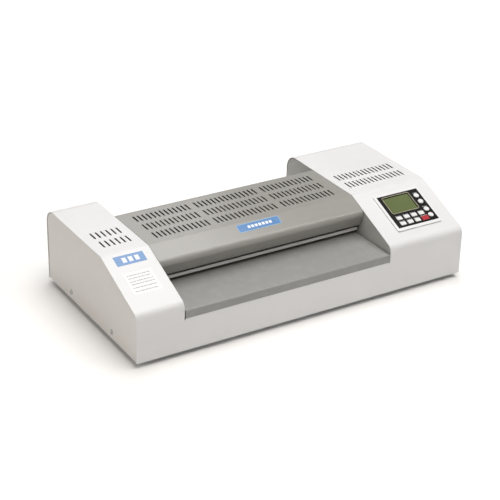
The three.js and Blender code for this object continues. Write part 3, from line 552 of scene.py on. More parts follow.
def grain_group() -> bpy.types.NodeTree:
    """Fine grain of a sprayed or moulded skin: a height, and a slow tone that clouds the colour.

    Returns:
        The group, with Vector and Scale in, Height and Tone out.
    """
    wiring, entry, result = new_group("fine_grain", {"Vector": None, "Scale": 900.0}, ["Height", "Tone"])
    coarse = wiring.noise(entry["Vector"], entry["Scale"], 3.0, Roughness=0.55)
    cells = wiring.add(
        "ShaderNodeTexVoronoi",
        {"Vector": entry["Vector"], "Scale": wiring.maths("MULTIPLY", entry["Scale"], 0.6)},
        feature="SMOOTH_F1",
    )
    slow = wiring.noise(entry["Vector"], 9.0, 5.0)
    height = wiring.maths("MULTIPLY_ADD", cells.outputs["Distance"], 0.7, coarse)
    wiring.tree.links.new(height, result.inputs["Height"])
    wiring.tree.links.new(wiring.ramp(slow, 0.35, 0.7), result.inputs["Tone"])
    return wiring.tree


def brushing_group() -> bpy.types.NodeTree:
    """Long fine scratches along X: a height and a tone.

    Returns:
        The group, with Vector and Scale in, Height and Tone out.
    """
    wiring, entry, result = new_group("brushing", {"Vector": None, "Scale": 900.0}, ["Height", "Tone"])
    pulled = {"Vector": entry["Vector"], "Scale": (0.02, 1.0, 1.0)}
    stretch = wiring.add("ShaderNodeMapping", pulled).outputs[0]
    lines = wiring.noise(stretch, entry["Scale"], 6.0, Roughness=0.7)
    bands = wiring.noise(stretch, 90.0, 2.0)
    wiring.tree.links.new(lines, result.inputs["Height"])
    tone = wiring.maths("MULTIPLY_ADD", bands, 0.5, wiring.maths("MULTIPLY", lines, 0.5))
    wiring.tree.links.new(wiring.ramp(tone, 0.3, 0.7), result.inputs["Tone"])
    return wiring.tree


def wear_group() -> bpy.types.NodeTree:
    """Rubbed edges: a mask along the outward edges, broken up by noise.

    Returns:
        The group, with Vector and Amount in, Mask out.
    """
    wiring, entry, result = new_group("edge_wear", {"Vector": None, "Amount": 0.5}, ["Mask"])
    geometry = wiring.add("ShaderNodeNewGeometry")
    edge = wiring.ramp(geometry.outputs["Pointiness"], 0.52, 0.6)
    patches = wiring.noise(entry["Vector"], 60.0, 4.0)
    broken = wiring.maths("MULTIPLY", edge, wiring.ramp(patches, 0.45, 0.65))
    wiring.tree.links.new(wiring.maths("MULTIPLY", broken, entry["Amount"]), result.inputs["Mask"])
    return wiring.tree


def dust_group() -> bpy.types.NodeTree:
    """Light dust and hand marks: a mask on the upward faces and a slow change of gloss everywhere.

    Returns:
        The group, with Vector and Amount in, Mask and Smudge out.
    """
    wiring, entry, result = new_group("dust_and_marks", {"Vector": None, "Amount": 0.3}, ["Mask", "Smudge"])
    geometry = wiring.add("ShaderNodeNewGeometry")
    normal = wiring.add("ShaderNodeSeparateXYZ", {0: geometry.outputs["Normal"]})
    up = wiring.ramp(normal.outputs["Z"], 0.3, 1.0)
    specks = wiring.noise(entry["Vector"], 420.0, 6.0)
    mask = wiring.maths("MULTIPLY", up, wiring.ramp(specks, 0.5, 0.75))
    marks = wiring.noise(entry["Vector"], 22.0, 3.0, Distortion=0.6)
    wiring.tree.links.new(wiring.maths("MULTIPLY", mask, entry["Amount"]), result.inputs["Mask"])
    wiring.tree.links.new(wiring.ramp(marks, 0.4, 0.65), result.inputs["Smudge"])
    return wiring.tree


class Skin(Enum):
    """How a surface is textured: the shared effect that gives its height and tone."""

    SPRAYED = "fine_grain"
    DRAWN = "brushing"


GROUP_MAKERS = {
    "fine_grain": grain_group,
    "brushing": brushing_group,
    "edge_wear": wear_group,
    "dust_and_marks": dust_group,
}


def effect(name: str) -> bpy.types.NodeTree:
    """A shared node group, built the first time that it is asked for.

    Args:
        name: The group's name.

    Returns:
        The group.
    """
    return bpy.data.node_groups.get(name) or GROUP_MAKERS[name]()


# ---------------------------------------------------------------------------------------------------------
# Finishes
# ---------------------------------------------------------------------------------------------------------


@dataclass(frozen=True)
class Finish:
    """One surface finish: colours, gloss, texture and how it has aged."""

    name: str
    slot: str
    colour: Colour
    clouded: Colour
    roughness: float
    spread: float = 0.06
    metallic: float = 0.0
    skin: Skin = Skin.SPRAYED
    scale: float = 900.0
    relief: float = 0.02 * MM
    strength: float = 0.35
    wear: float = 0.0
    worn: Colour = (0.6, 0.6, 0.6)
    dust: float = 0.1
    dust_colour: Colour = (0.55, 0.53, 0.5)
    dust_rough: float = 0.3
    coat: float = 0.0
    coat_rough: float = 0.08
    specular: float = 0.5

    def material(self) -> bpy.types.Material:
        """Builds the material once and returns it.

        Returns:
            The material.
        """
        found = bpy.data.materials.get(self.name)
        if found:
            return found
        material = bpy.data.materials.new(self.name)
        material.use_nodes = True
        wiring = Wiring(material.node_tree)
        shader = material.node_tree.nodes["Principled BSDF"]
        place = wiring.add("ShaderNodeTexCoord").outputs["Object"]
        skin = wiring.group(self.skin.value, place, Scale=self.scale)
        marks = wiring.group("dust_and_marks", place, Amount=self.dust)
        colour = wiring.mix(skin["Tone"], (*self.colour, 1.0), (*self.clouded, 1.0))
        if self.wear:
            rubbed = wiring.group("edge_wear", place, Amount=self.wear)
            colour = wiring.mix(rubbed["Mask"], colour, (*self.worn, 1.0))
        colour = wiring.mix(marks["Mask"], colour, (*self.dust_colour, 1.0))
        rough = wiring.maths("MULTIPLY_ADD", marks["Smudge"], self.spread, self.roughness - self.spread / 2)
        rough = wiring.maths("ADD", rough, wiring.maths("MULTIPLY", marks["Mask"], self.dust_rough))
        bump = wiring.add(
            "ShaderNodeBump", {"Strength": self.strength, "Distance": self.relief, "Height": skin["Height"]}
        )
        material.node_tree.links.new(colour, shader.inputs["Base Color"])
        material.node_tree.links.new(rough, shader.inputs["Roughness"])
        material.node_tree.links.new(bump.outputs[0], shader.inputs["Normal"])
        shader.inputs["Metallic"].default_value = self.metallic
        shader.inputs["Coat Weight"].default_value = self.coat
        shader.inputs["Coat Roughness"].default_value = self.coat_rough
        shader.inputs["Specular IOR Level"].default_value = self.specular
        return material


WHITE_PAINT = Finish(
    "white_powder_coat", "white_paint", (0.79, 0.785, 0.785), (0.765, 0.76, 0.76), 0.38,
    scale=1100.0, relief=0.03 * MM, strength=0.25, wear=0.1, worn=(0.66, 0.65, 0.64), dust=0.012,
)
# The end panels' copy of the white paint, warmer and a little lighter: painted warm light falling from the
# left.
WHITE_PAINT_WARM_LIT = Finish(
    "white_coat_painted_warm_light", "white_paint", (0.81, 0.785, 0.765), (0.79, 0.765, 0.745), 0.42,
    scale=1100.0, relief=0.03 * MM, strength=0.25, wear=0.1, worn=(0.66, 0.65, 0.64), dust=0.012,
)
GREY_PAINT = Finish(
    "grey_powder_coat", "grey_paint", (0.345, 0.335, 0.312), (0.338, 0.328, 0.305), 0.18, spread=0.02,
    scale=1000.0, relief=0.02 * MM, strength=0.15, wear=0.2, worn=(0.45, 0.45, 0.44), dust=0.012,
)
GREY_TABLE_PAINT = Finish(
    "grey_table_coat", "grey_paint", (0.305, 0.302, 0.288), (0.297, 0.294, 0.28), 0.42, spread=0.03,
    scale=1000.0, relief=0.02 * MM, strength=0.15, wear=0.3, worn=(0.42, 0.42, 0.42), dust=0.02,
)
CHEEK_PAINT = Finish(
    "pale_grey_coat", "grey_paint", (0.50, 0.50, 0.48), (0.49, 0.49, 0.47), 0.42,
    scale=1000.0, relief=0.03 * MM, strength=0.25, wear=0.2, worn=(0.6, 0.6, 0.59), dust=0.015,
)
ZINC = Finish(
    "zinc_plate", "zinc_steel", (0.56, 0.58, 0.60), (0.47, 0.48, 0.47), 0.38, spread=0.16,
    metallic=0.95, scale=260.0, relief=0.01 * MM, strength=0.2, dust=0.1,
)
STEEL = Finish(
    "ground_steel", "bright_steel", (0.66, 0.67, 0.68), (0.55, 0.56, 0.57), 0.24, spread=0.12,
    metallic=1.0, skin=Skin.DRAWN, scale=2400.0, relief=0.01 * MM, strength=0.3, dust=0.02,
)
ALUMINIUM = Finish(
    "drawn_aluminium", "aluminium", (0.92, 0.92, 0.91), (0.88, 0.88, 0.87), 0.42, spread=0.1,
    metallic=0.3, skin=Skin.DRAWN, scale=1800.0, relief=0.012 * MM, strength=0.4, dust=0.05,
)
# Black silicone for the roller sleeves, kept very dark partly as painted shade, so the feed gap reads black.
SILICONE_PAINTED_SHADE = Finish(
    "black_silicone_painted_shade", "silicone", (0.028, 0.028, 0.030), (0.038, 0.037, 0.037), 0.6,
    scale=1500.0, relief=0.02 * MM, strength=0.4, dust=0.15,
)
# Black anodised finish for the heaters, made near-black partly as painted shade, so what shows through the
# slots and the feed gap reads dark.
HEATER_COAT_PAINTED_SHADE = Finish(
    "black_anodised_painted_shade", "aluminium", (0.035, 0.035, 0.038), (0.05, 0.05, 0.052), 0.5,
    metallic=0.4, skin=Skin.DRAWN, scale=1800.0, relief=0.012 * MM, strength=0.4, dust=0.1,
)
FOOT_RUBBER = Finish(
    "foot_rubber", "foot_rubber", (0.022, 0.022, 0.023), (0.032, 0.031, 0.03), 0.8,
    scale=1300.0, relief=0.05 * MM, strength=0.5, wear=0.3, worn=(0.09, 0.09, 0.088), dust=0.3,
)
NYLON = Finish(
    "gear_nylon", "gear_nylon", (0.78, 0.745, 0.64), (0.72, 0.68, 0.57), 0.45,
    scale=900.0, relief=0.02 * MM, strength=0.2, dust=0.05,
)
BLACK_PLASTIC = Finish(
    "black_moulding", "black_plastic", (0.016, 0.016, 0.018), (0.022, 0.022, 0.024), 0.42,
    scale=1600.0, relief=0.03 * MM, strength=0.4, wear=0.35, worn=(0.07, 0.07, 0.07), dust=0.12,
)
PANEL_FILM = Finish(
    "black_panel_film", "black_plastic", (0.006, 0.006, 0.005), (0.008, 0.008, 0.007), 0.4,
    scale=2200.0, relief=0.015 * MM, strength=0.2, dust=0.01, specular=0.25,
)
WHITE_PLASTIC = Finish(
    "white_moulding", "white_plastic", (0.84, 0.84, 0.835), (0.80, 0.80, 0.79), 0.34,
    scale=1500.0, relief=0.015 * MM, strength=0.25, wear=0.1, worn=(0.7, 0.69, 0.66), dust=0.04,
)
RED_PLASTIC = Finish(
    "red_moulding", "red_plastic", (0.50, 0.035, 0.045), (0.42, 0.028, 0.035), 0.32,
    scale=1500.0, relief=0.015 * MM, strength=0.25, wear=0.1, worn=(0.6, 0.15, 0.15), dust=0.04,
)
DISPLAY_TRIM = Finish(
    "display_trim", "display", (0.72, 0.64, 0.48), (0.66, 0.58, 0.43), 0.3,
    metallic=0.3, scale=1500.0, relief=0.01 * MM, strength=0.2, dust=0.03,
)
PRINT_GREY = Finish(
    "grey_print", "white_plastic", (0.2, 0.2, 0.21), (0.25, 0.25, 0.25), 0.55, scale=2500.0, dust=0.02
)
PRINT_WHITE = Finish(
    "white_print", "white_plastic", (0.86, 0.87, 0.88), (0.80, 0.82, 0.84), 0.45, scale=2500.0, dust=0.02
)
BADGE_EDGE = Finish(
    "pale_blue_edge", "white_plastic", (0.30, 0.44, 0.60), (0.27, 0.41, 0.57), 0.35,
    scale=2500.0, relief=0.01 * MM, strength=0.2, dust=0.02,
)
LABEL_BLUE = Finish(
    "blue_label_film", "white_plastic", (0.095, 0.245, 0.52), (0.085, 0.225, 0.48), 0.3,
    scale=2500.0, relief=0.01 * MM, strength=0.2, dust=0.04, coat=0.3,
)
LABEL_PAPER = Finish(
    "white_label_film", "white_plastic", (0.88, 0.88, 0.88), (0.85, 0.85, 0.85), 0.5,
    scale=2500.0, relief=0.01 * MM, strength=0.2, dust=0.02,
)
CIRCUIT = Finish(
    "solder_mask", "circuit_board", (0.02, 0.13, 0.05), (0.03, 0.17, 0.07), 0.35,
    scale=500.0, relief=0.05 * MM, strength=0.5, dust=0.25,
)


@dataclass(frozen=True)
class DisplayFace:
    """The green face of the display under its clear window, with faint rows of cells."""

    name: str = "display_face"
    slot: str = "display"
    light: Colour = (0.165, 0.20, 0.085)
    dark: Colour = (0.13, 0.16, 0.066)
    cell: float = 1.1 * MM
    line: float = 0.08
    contrast: float = 0.18
    roughness: float = 0.12
    coat: float = 0.6
    coat_rough: float = 0.04

    def material(self) -> bpy.types.Material:
        """Builds the material once and returns it.

        Returns:
            The material.
        """
        found = bpy.data.materials.get(self.name)
        if found:
            return found
        material = bpy.data.materials.new(self.name)
        material.use_nodes = True
        wiring = Wiring(material.node_tree)
        shader = material.node_tree.nodes["Principled BSDF"]
        place = wiring.add("ShaderNodeTexCoord").outputs["Object"]
        cells = wiring.add(
            "ShaderNodeTexBrick",
            {
                "Vector": place, "Color1": (1, 1, 1, 1), "Color2": (0.9, 0.9, 0.9, 1), "Mortar": (0, 0, 0, 1),
                "Scale": 1.0, "Mortar Size": self.cell * self.line, "Brick Width": self.cell,
                "Row Height": self.cell,
            },
            offset=0.0,
        )
        marks = wiring.group("dust_and_marks", place, Amount=0.05)
        grain = wiring.group("fine_grain", place, Scale=1800.0)
        base = wiring.mix(grain["Tone"], (*self.light, 1.0), (*self.dark, 1.0))
        lines = wiring.maths("MULTIPLY", cells.outputs["Fac"], self.contrast)
        ruled = wiring.mix(lines, base, (*self.dark, 1.0))
        rough = wiring.maths("MULTIPLY_ADD", marks["Smudge"], 0.05, self.roughness)
        relief = {"Strength": 0.1, "Distance": 0.01 * MM, "Height": grain["Height"]}
        bump = wiring.add("ShaderNodeBump", relief)
        material.node_tree.links.new(ruled, shader.inputs["Base Color"])
        material.node_tree.links.new(rough, shader.inputs["Roughness"])
        material.node_tree.links.new(bump.outputs[0], shader.inputs["Normal"])
        shader.inputs["Coat Weight"].default_value = self.coat
        shader.inputs["Coat Roughness"].default_value = self.coat_rough
        return material


DISPLAY_FACE = DisplayFace()


def dress(piece: bpy.types.Object, finish: Finish | DisplayFace) -> None:
    """Gives a piece one finish all over.

    Args:
        piece: The piece, or a node of the frame.
        finish: Its finish.
    """
    piece.data.materials.clear()
    piece.data.materials.append(finish.material())


def hand_over(piece: bpy.types.Object, finish: Finish | DisplayFace, body: str, *stands_for: str) -> None:
    """Dresses a finished piece, fixes it to its body and hides the nodes of the frame that it stands for.

    Args:
        piece: The finished piece.
        finish: Its finish.
        body: The body that it rides on.
        *stands_for: Nodes of the frame that it replaces.
    """
    dress(piece, finish)
    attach(piece, body)
    if stands_for:
        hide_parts(*stands_for)
    LOG.info("%s: %d faces on %s", piece.name, len(piece.data.polygons), body)


# ---------------------------------------------------------------------------------------------------------
# Sub-assemblies
# ---------------------------------------------------------------------------------------------------------


@dataclass(frozen=True)
class Layout:
    """The places that the sub-assemblies share, read from the frame."""

    low: Vector
    high: Vector
    opening_left: float
    opening_right: float
    wall_top: float

    @classmethod
    def read(cls) -> "Layout":
        """Reads the layout from the frame's nodes.

        Returns:
            The layout.
        """
        low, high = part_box("outer_case")
        reveal = 2 * SMALL
        return cls(
            low, high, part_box("left_cheek")[1].x + reveal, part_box("right_cheek")[0].x - reveal,
            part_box("feed_table")[0].z - SMALL,
        )

    @property
    def break_y(self) -> float:
        """Where the slope meets the flat top."""
        return self.low.y + SLOPE_RUN

    @property
    def slope_out(self) -> Vector:
        """The slope's outward normal."""
        return Vector((0, -SLOPE_RISE, SLOPE_RUN)).normalized()

    @property
    def slope(self) -> Matrix:
        """The frame in which the slope is flat: X across, -Y down it and Z out of it."""
        turn = Matrix.Rotation(SLOPE_ANGLE, 4, "X")
        return Matrix.Translation((0, self.break_y, self.high.z)) @ turn

    def outline(self, name: str, x0: float, x1: float, inset: float, bottom: float) -> bpy.types.Object:
        """A solid bar with the housings' outline.

        Args:
            name: The piece's name.
            x0: Its left end.
            x1: Its right end.
            inset: How far it lies inside the outline.
            bottom: The height of its lower face.

        Returns:
            The bar.
        """
        front, back, top = self.low.y + inset, self.high.y - inset, self.high.z - inset
        bar = block(name, (x0, front, bottom), (x1, back, top))
        corner = Vector((0, self.break_y, self.high.z)) - self.slope_out * inset
        bisect(bar, tuple(corner), tuple(self.slope_out))
        near = SMALL
        rise = max(BREAK_ROUND - inset, SMALL)

        def at_back(a: Vector, b: Vector) -> bool:
            """Whether an edge is the top of the back."""
            return min(a.y, b.y) > back - near and min(a.z, b.z) > top - near

        def at_front(a: Vector, b: Vector) -> bool:
            """Whether an edge is the top of the front wall."""
            return max(a.y, b.y) < front + near and min(a.z, b.z) > bottom + near

        def at_break(a: Vector, b: Vector) -> bool:
            """Whether an edge is where the slope meets the flat top."""
            return min(a.z, b.z) > top - near and max(a.y, b.y) < back - near and abs(a.y - b.y) < near

        round_edges(bar, at_break, rise * math.tan(SLOPE_ANGLE / 2), 4)
        round_edges(bar, at_back, BACK_ROUND - inset, 14)
        round_edges(bar, at_front, (FRONT_ROUND - inset) * math.tan((math.pi / 2 - SLOPE_ANGLE) / 2), 10)
        return bar


@dataclass
class Casing:
    """The white wrap, its end panels and their screws, the feet and the floor pan."""

    layout: Layout
    left_slots: int = 6
    left_pitch: float = 8.27 * MM
    right_slots: int = 15
    right_pitch: float = 7.18 * MM
    back_row: float = 24.3 * MM
    shift: float = 1.6 * MM
    relief: float = 1.0 * MM
    screw_height: float = 11.3 * MM
    screw_spacing: float = 133.4 * MM
    screw_radius: float = 4.3 * MM
    screw_rise: float = 0.95 * MM
    screw_round: float = 0.7 * MM
    screw_lift: float = 0.02 * MM
    cross: tuple[float, float, float] = (2.4 * MM, 0.5 * MM, 0.25 * MM)
    spins: tuple[float, float] = (0.4, 1.3)
    inlet_lip: float = 3.4 * MM
    panel_lip: float = 3 * MM
    foot_taper: float = 0.88
    foot_rim: float = 0.55
    foot_well: tuple[float, float] = (0.5 * MM, 2.5 * MM)

    def build(self) -> None:
        """Builds every piece of the casing."""
        self.wrap()
        self.end_panels()
        self.screws()
        self.feet()
        dress(frame["nodes"]["base_pan"], ZINC)
        dress(frame["nodes"]["left_cheek"], CHEEK_PAINT)
        dress(frame["nodes"]["right_cheek"], CHEEK_PAINT)

    def wrap(self) -> None:
        """The sheet that wraps both housings and runs under the tables."""
        at = self.layout
        shell = at.outline("case_wrap", at.low.x, at.high.x, 0.0, at.low.z)
        remove_faces(shell, lambda middle, normal: abs(normal.x) > FACING or normal.z < -FACING)
        modify(shell, "SOLIDIFY", thickness=SKIN, offset=-1.0, use_even_offset=True)
        tools = [block("notch", (at.opening_left, -1, at.wall_top), (at.opening_right, 1, 1))]
        for side, x in ((1, at.opening_left), (-1, at.opening_right)):
            for y in (at.low.y, at.high.y):
                low = (min(x, x + side * self.relief), y - 3 * SHEET, at.wall_top - 2 * self.relief)
                high = (max(x, x + side * self.relief), y + 3 * SHEET, at.wall_top + SMALL / 2)
                tools.append(block("relief", low, high))
        carve(shell, [tools[0]])
        carve(shell, tools[1:])
        low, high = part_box("power_inlet")
        lip = self.inlet_lip
        low_inlet = (low.x + lip, at.high.y - 3 * SHEET, low.z + lip)
        carve(shell, [block("inlet", low_inlet, (high.x - lip, at.high.y + SHEET, high.z - lip))])
        panel = KeypadPlan.read(at)
        lip = self.panel_lip
        low_hole = (panel.x0 + lip, -panel.t1 + lip, -3 * SHEET)
        hole = block("panel_hole", low_hole, (panel.x1 - lip, -panel.t0 - lip, 3 * SHEET))
        move(hole, at.slope)
        carve(shell, [hole])
        cut_slots(shell, self.slot_places(), at.high.z)
        soften(shell, 0.28 * MM)
        hand_over(shell, WHITE_PAINT, "chassis", "outer_case")

    def slot_places(self) -> list[tuple[float, float]]:
        """Middles of the slots over both housings.

        Returns:
            Their places in X and Y.
        """
        at = self.layout
        left = spread((at.low.x + at.opening_left) / 2 + self.shift, self.left_slots, self.left_pitch)
        right = spread((at.high.x + at.opening_right) / 2 - self.shift, self.right_slots, self.right_pitch)
        rows = (self.back_row, self.back_row - SLOT_ROW_PITCH)
        return [(x, y) for y in rows for x in left + right]

    def end_panels(self) -> None:
        """The flat panels at both ends, set a little inside the wrap."""
        at = self.layout
        for name in ("left_side_panel", "right_side_panel"):
            low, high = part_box(name)
            panel = at.outline(f"{name}_sheet", low.x, high.x, SHEET + SMALL, at.low.z)
            soften(panel, 0.25 * MM)
            # the warmer copy of the white paint: painted warm light on the end panels
            hand_over(panel, WHITE_PAINT_WARM_LIT, "chassis", name)

    def screws(self) -> None:
        """Two low domed screws in each end panel, with a cross in the head."""
        at = self.layout
        pattern = disc("screw", (0, 0, self.screw_rise / 2), self.screw_radius, self.screw_rise)
        round_edges(pattern, lambda a, b: min(a.z, b.z) > self.screw_rise - SMALL, self.screw_round, 4)
        reach, half, bottom = self.cross
        for x, y in ((reach, half), (half, reach)):
            carve(pattern, [block("cross", (-x, -y, bottom), (x, y, CUTTER))])
        soften(pattern, 0.0)
        z = at.low.z + self.screw_height
        ends = (("left", -1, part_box("left_side_panel")[0].x), ("right", 1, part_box("right_side_panel")[1].x))
        for label, way, x in ends:
            turn = Matrix.Rotation(way * math.pi / 2, 4, "Y")
            for i, (side, angle) in enumerate(zip((-1, 1), self.spins)):
                screw = copies(pattern, [(0, 0, 0)])[0]
                spin = Matrix.Rotation(angle, 4, "Z")
                place = Matrix.Translation((x, side * self.screw_spacing / 2, z)) @ turn @ spin
                move(screw, place @ Matrix.Translation((0, 0, self.screw_lift)))
                screw.name = f"{label}_panel_screw_{i + 1}"
                hand_over(screw, STEEL, "chassis")
        discard(pattern)

    def feet(self) -> None:
        """Rubber feet with a rounded rim and a hollow for the screw."""
        for name in ("front_left_foot", "front_right_foot", "rear_left_foot", "rear_right_foot"):
            low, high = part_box(name)
            middle = (low + high) / 2
            top = self.layout.low.z - SMALL
            radius = (high.x - low.x) / 2
            foot = disc(f"{name}_rubber", (middle.x, middle.y, top / 2), radius, top)
            with editing(foot):
                pick_faces(foot, lambda m, n: n.z > FACING)
                bpy.ops.transform.resize(
                    value=(self.foot_taper, self.foot_taper, 1), center_override=(middle.x, middle.y, top)
                )
                pick_faces(foot, lambda m, n: n.z < -FACING)
                bpy.ops.mesh.inset(thickness=radius * self.foot_rim, depth=0)
                bpy.ops.mesh.inset(thickness=self.foot_well[0], depth=-self.foot_well[1])
            soften(foot, 0.6 * MM, 3)
            hand_over(foot, FOOT_RUBBER, "chassis", name)


@dataclass
class Cover:
    """The grey cover over the rollers, with its three rows of slots."""

    layout: Layout
    outer_slots: int = 13
    inner_slots: int = 15
    pitch: float = 7.25 * MM
    group_gap: float = 14.6 * MM
    back_row: float = 44.8 * MM
    face_reach: float = 74.3 * MM
    mouth: float = 65 * MM
    mouth_height: float = 78.6 * MM
    hem: float = 5 * MM
    hem_round: float = 3 * MM
    front_round: float = 9 * MM
    back_round: float = 6 * MM

    def build(self) -> None:
        """Builds the cover."""
        at = self.layout
        low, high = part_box("top_cover")
        floor, top, near = at.low.z + self.mouth_height, at.high.z, SMALL
        corner = top - (self.face_reach + at.break_y) * math.tan(SLOPE_ANGLE)
        out = self.face_reach - self.mouth
        lean = {-1: math.atan2(out, corner - floor), 1: math.atan2(out, top - floor)}
        shell = block("roller_cover", (low.x, -self.face_reach, floor), (high.x, self.face_reach, top))
        bisect(shell, (0, at.break_y, top), tuple(at.slope_out))
        for side, angle in lean.items():
            bisect(shell, (0, side * self.mouth, floor), (0, side * math.cos(angle), -math.sin(angle)))
            bisect(shell, (0, side * (self.mouth - self.hem), floor), (0, 1, 0), keep=True)

        def round_at(y: float, z: float, radius: float, angle: float, segments: int) -> None:
            """Rounds the edge along X at a place, which turns by an angle, to a radius."""

            def here(a: Vector, b: Vector) -> bool:
                """Whether an edge lies at the place."""
                return all(abs(v.y - y) < near and abs(v.z - z) < near for v in (a, b))

            round_edges(shell, here, radius * math.tan(angle / 2), segments)

        square = math.pi / 2
        round_at(at.break_y, top, BREAK_ROUND, SLOPE_ANGLE, 4)
        round_at(self.face_reach, top, self.back_round, square + lean[1], 12)
        round_at(-self.face_reach, corner, self.front_round, square + lean[-1] - SLOPE_ANGLE, 16)
        for side, angle in lean.items():
            round_at(side * self.mouth, floor, self.hem_round, square - angle, 8)
        inner = self.mouth - self.hem
        remove_faces(shell, lambda m, n: abs(n.x) > FACING or (abs(m.y) < inner and m.z < floor + near))
        modify(shell, "SOLIDIFY", thickness=SKIN, offset=-1.0, use_even_offset=True)
        cut_slots(shell, self.slot_places(), top)
        soften(shell, 0.25 * MM)
        hand_over(shell, GREY_PAINT, "chassis", "top_cover")

    def slot_places(self) -> list[tuple[float, float]]:
        """Middles of the cover's slots.

        Returns:
            Their places in X and Y.
        """
        at = self.layout
        middle = (at.opening_left + at.opening_right) / 2
        outer, inner = self.outer_slots, self.inner_slots
        reach = (inner + outer - 2) / 2 * self.pitch + self.group_gap
        columns = spread(middle - reach, outer, self.pitch) + spread(middle, inner, self.pitch)
        columns += spread(middle + reach, outer, self.pitch)
        rows = spread(self.back_row - SLOT_ROW_PITCH, 3, SLOT_ROW_PITCH)
        return [(x, y) for y in rows for x in columns]


@dataclass
class DocumentPath:
    """The feed and exit tables and the bright guides over the two slots."""

    layout: Layout
    table_round: float = 1.8 * MM
    guide_round: float = 1.2 * MM

    def build(self) -> None:
        """Builds both tables and both guides."""
        for side, table, guide in ((-1, "feed_table", "feed_guide"), (1, "exit_table", "exit_guide")):
            self.folded(table, side, True, self.table_round, GREY_TABLE_PAINT)
            self.folded(guide, side, False, self.guide_round, ALUMINIUM)

    def folded(self, node: str, side: int, down: bool, radius: float, finish: Finish) -> None:
        """A sheet with one long edge folded down or up.

        Args:
            node: The node it stands for.
            side: -1 at the front and 1 at the back.
            down: Whether the lip turns down.
            radius: The outer radius of the fold.
            finish: Its finish.
        """
        low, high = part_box(node)
        sheet = block(f"{node}_sheet", tuple(low), tuple(high))
        outer = low.y if side < 0 else high.y
        skin = high.z if down else low.z

        def at_fold(a: Vector, b: Vector) -> bool:
            """Whether an edge is the fold."""
            return all(abs(v.y - outer) < SMALL and abs(v.z - skin) < SMALL for v in (a, b))

        def not_skin(middle: Vector, normal: Vector) -> bool:
            """Whether a face is neither the flat nor the lip."""
            flat = normal.z * (1 if down else -1) > 0.2
            return not (flat or normal.y * side > 0.2)

        round_edges(sheet, at_fold, radius, 6)
        remove_faces(sheet, not_skin)
        modify(sheet, "SOLIDIFY", thickness=SHEET, offset=-1.0, use_even_offset=True)
        soften(sheet, 0.3 * MM)
        hand_over(sheet, finish, "chassis", node)


@dataclass(frozen=True)
class KeypadPlan:
    """Where the keypad lies on the slope: X across, and t down the slope from the break."""

    x0: float
    x1: float
    t0: float
    t1: float

    @classmethod
    def read(cls, layout: Layout) -> "KeypadPlan":
        """Reads the keypad's place from the frame.

        Args:
            layout: The shared places.

        Returns:
            The plan.
        """
        low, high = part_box("panel_bezel")
        lie = layout.slope.inverted()
        skin = [lie @ v.co for v in frame["nodes"]["panel_bezel"].data.vertices]
        return cls(low.x, high.x, -max(v.y for v in skin), -min(v.y for v in skin))


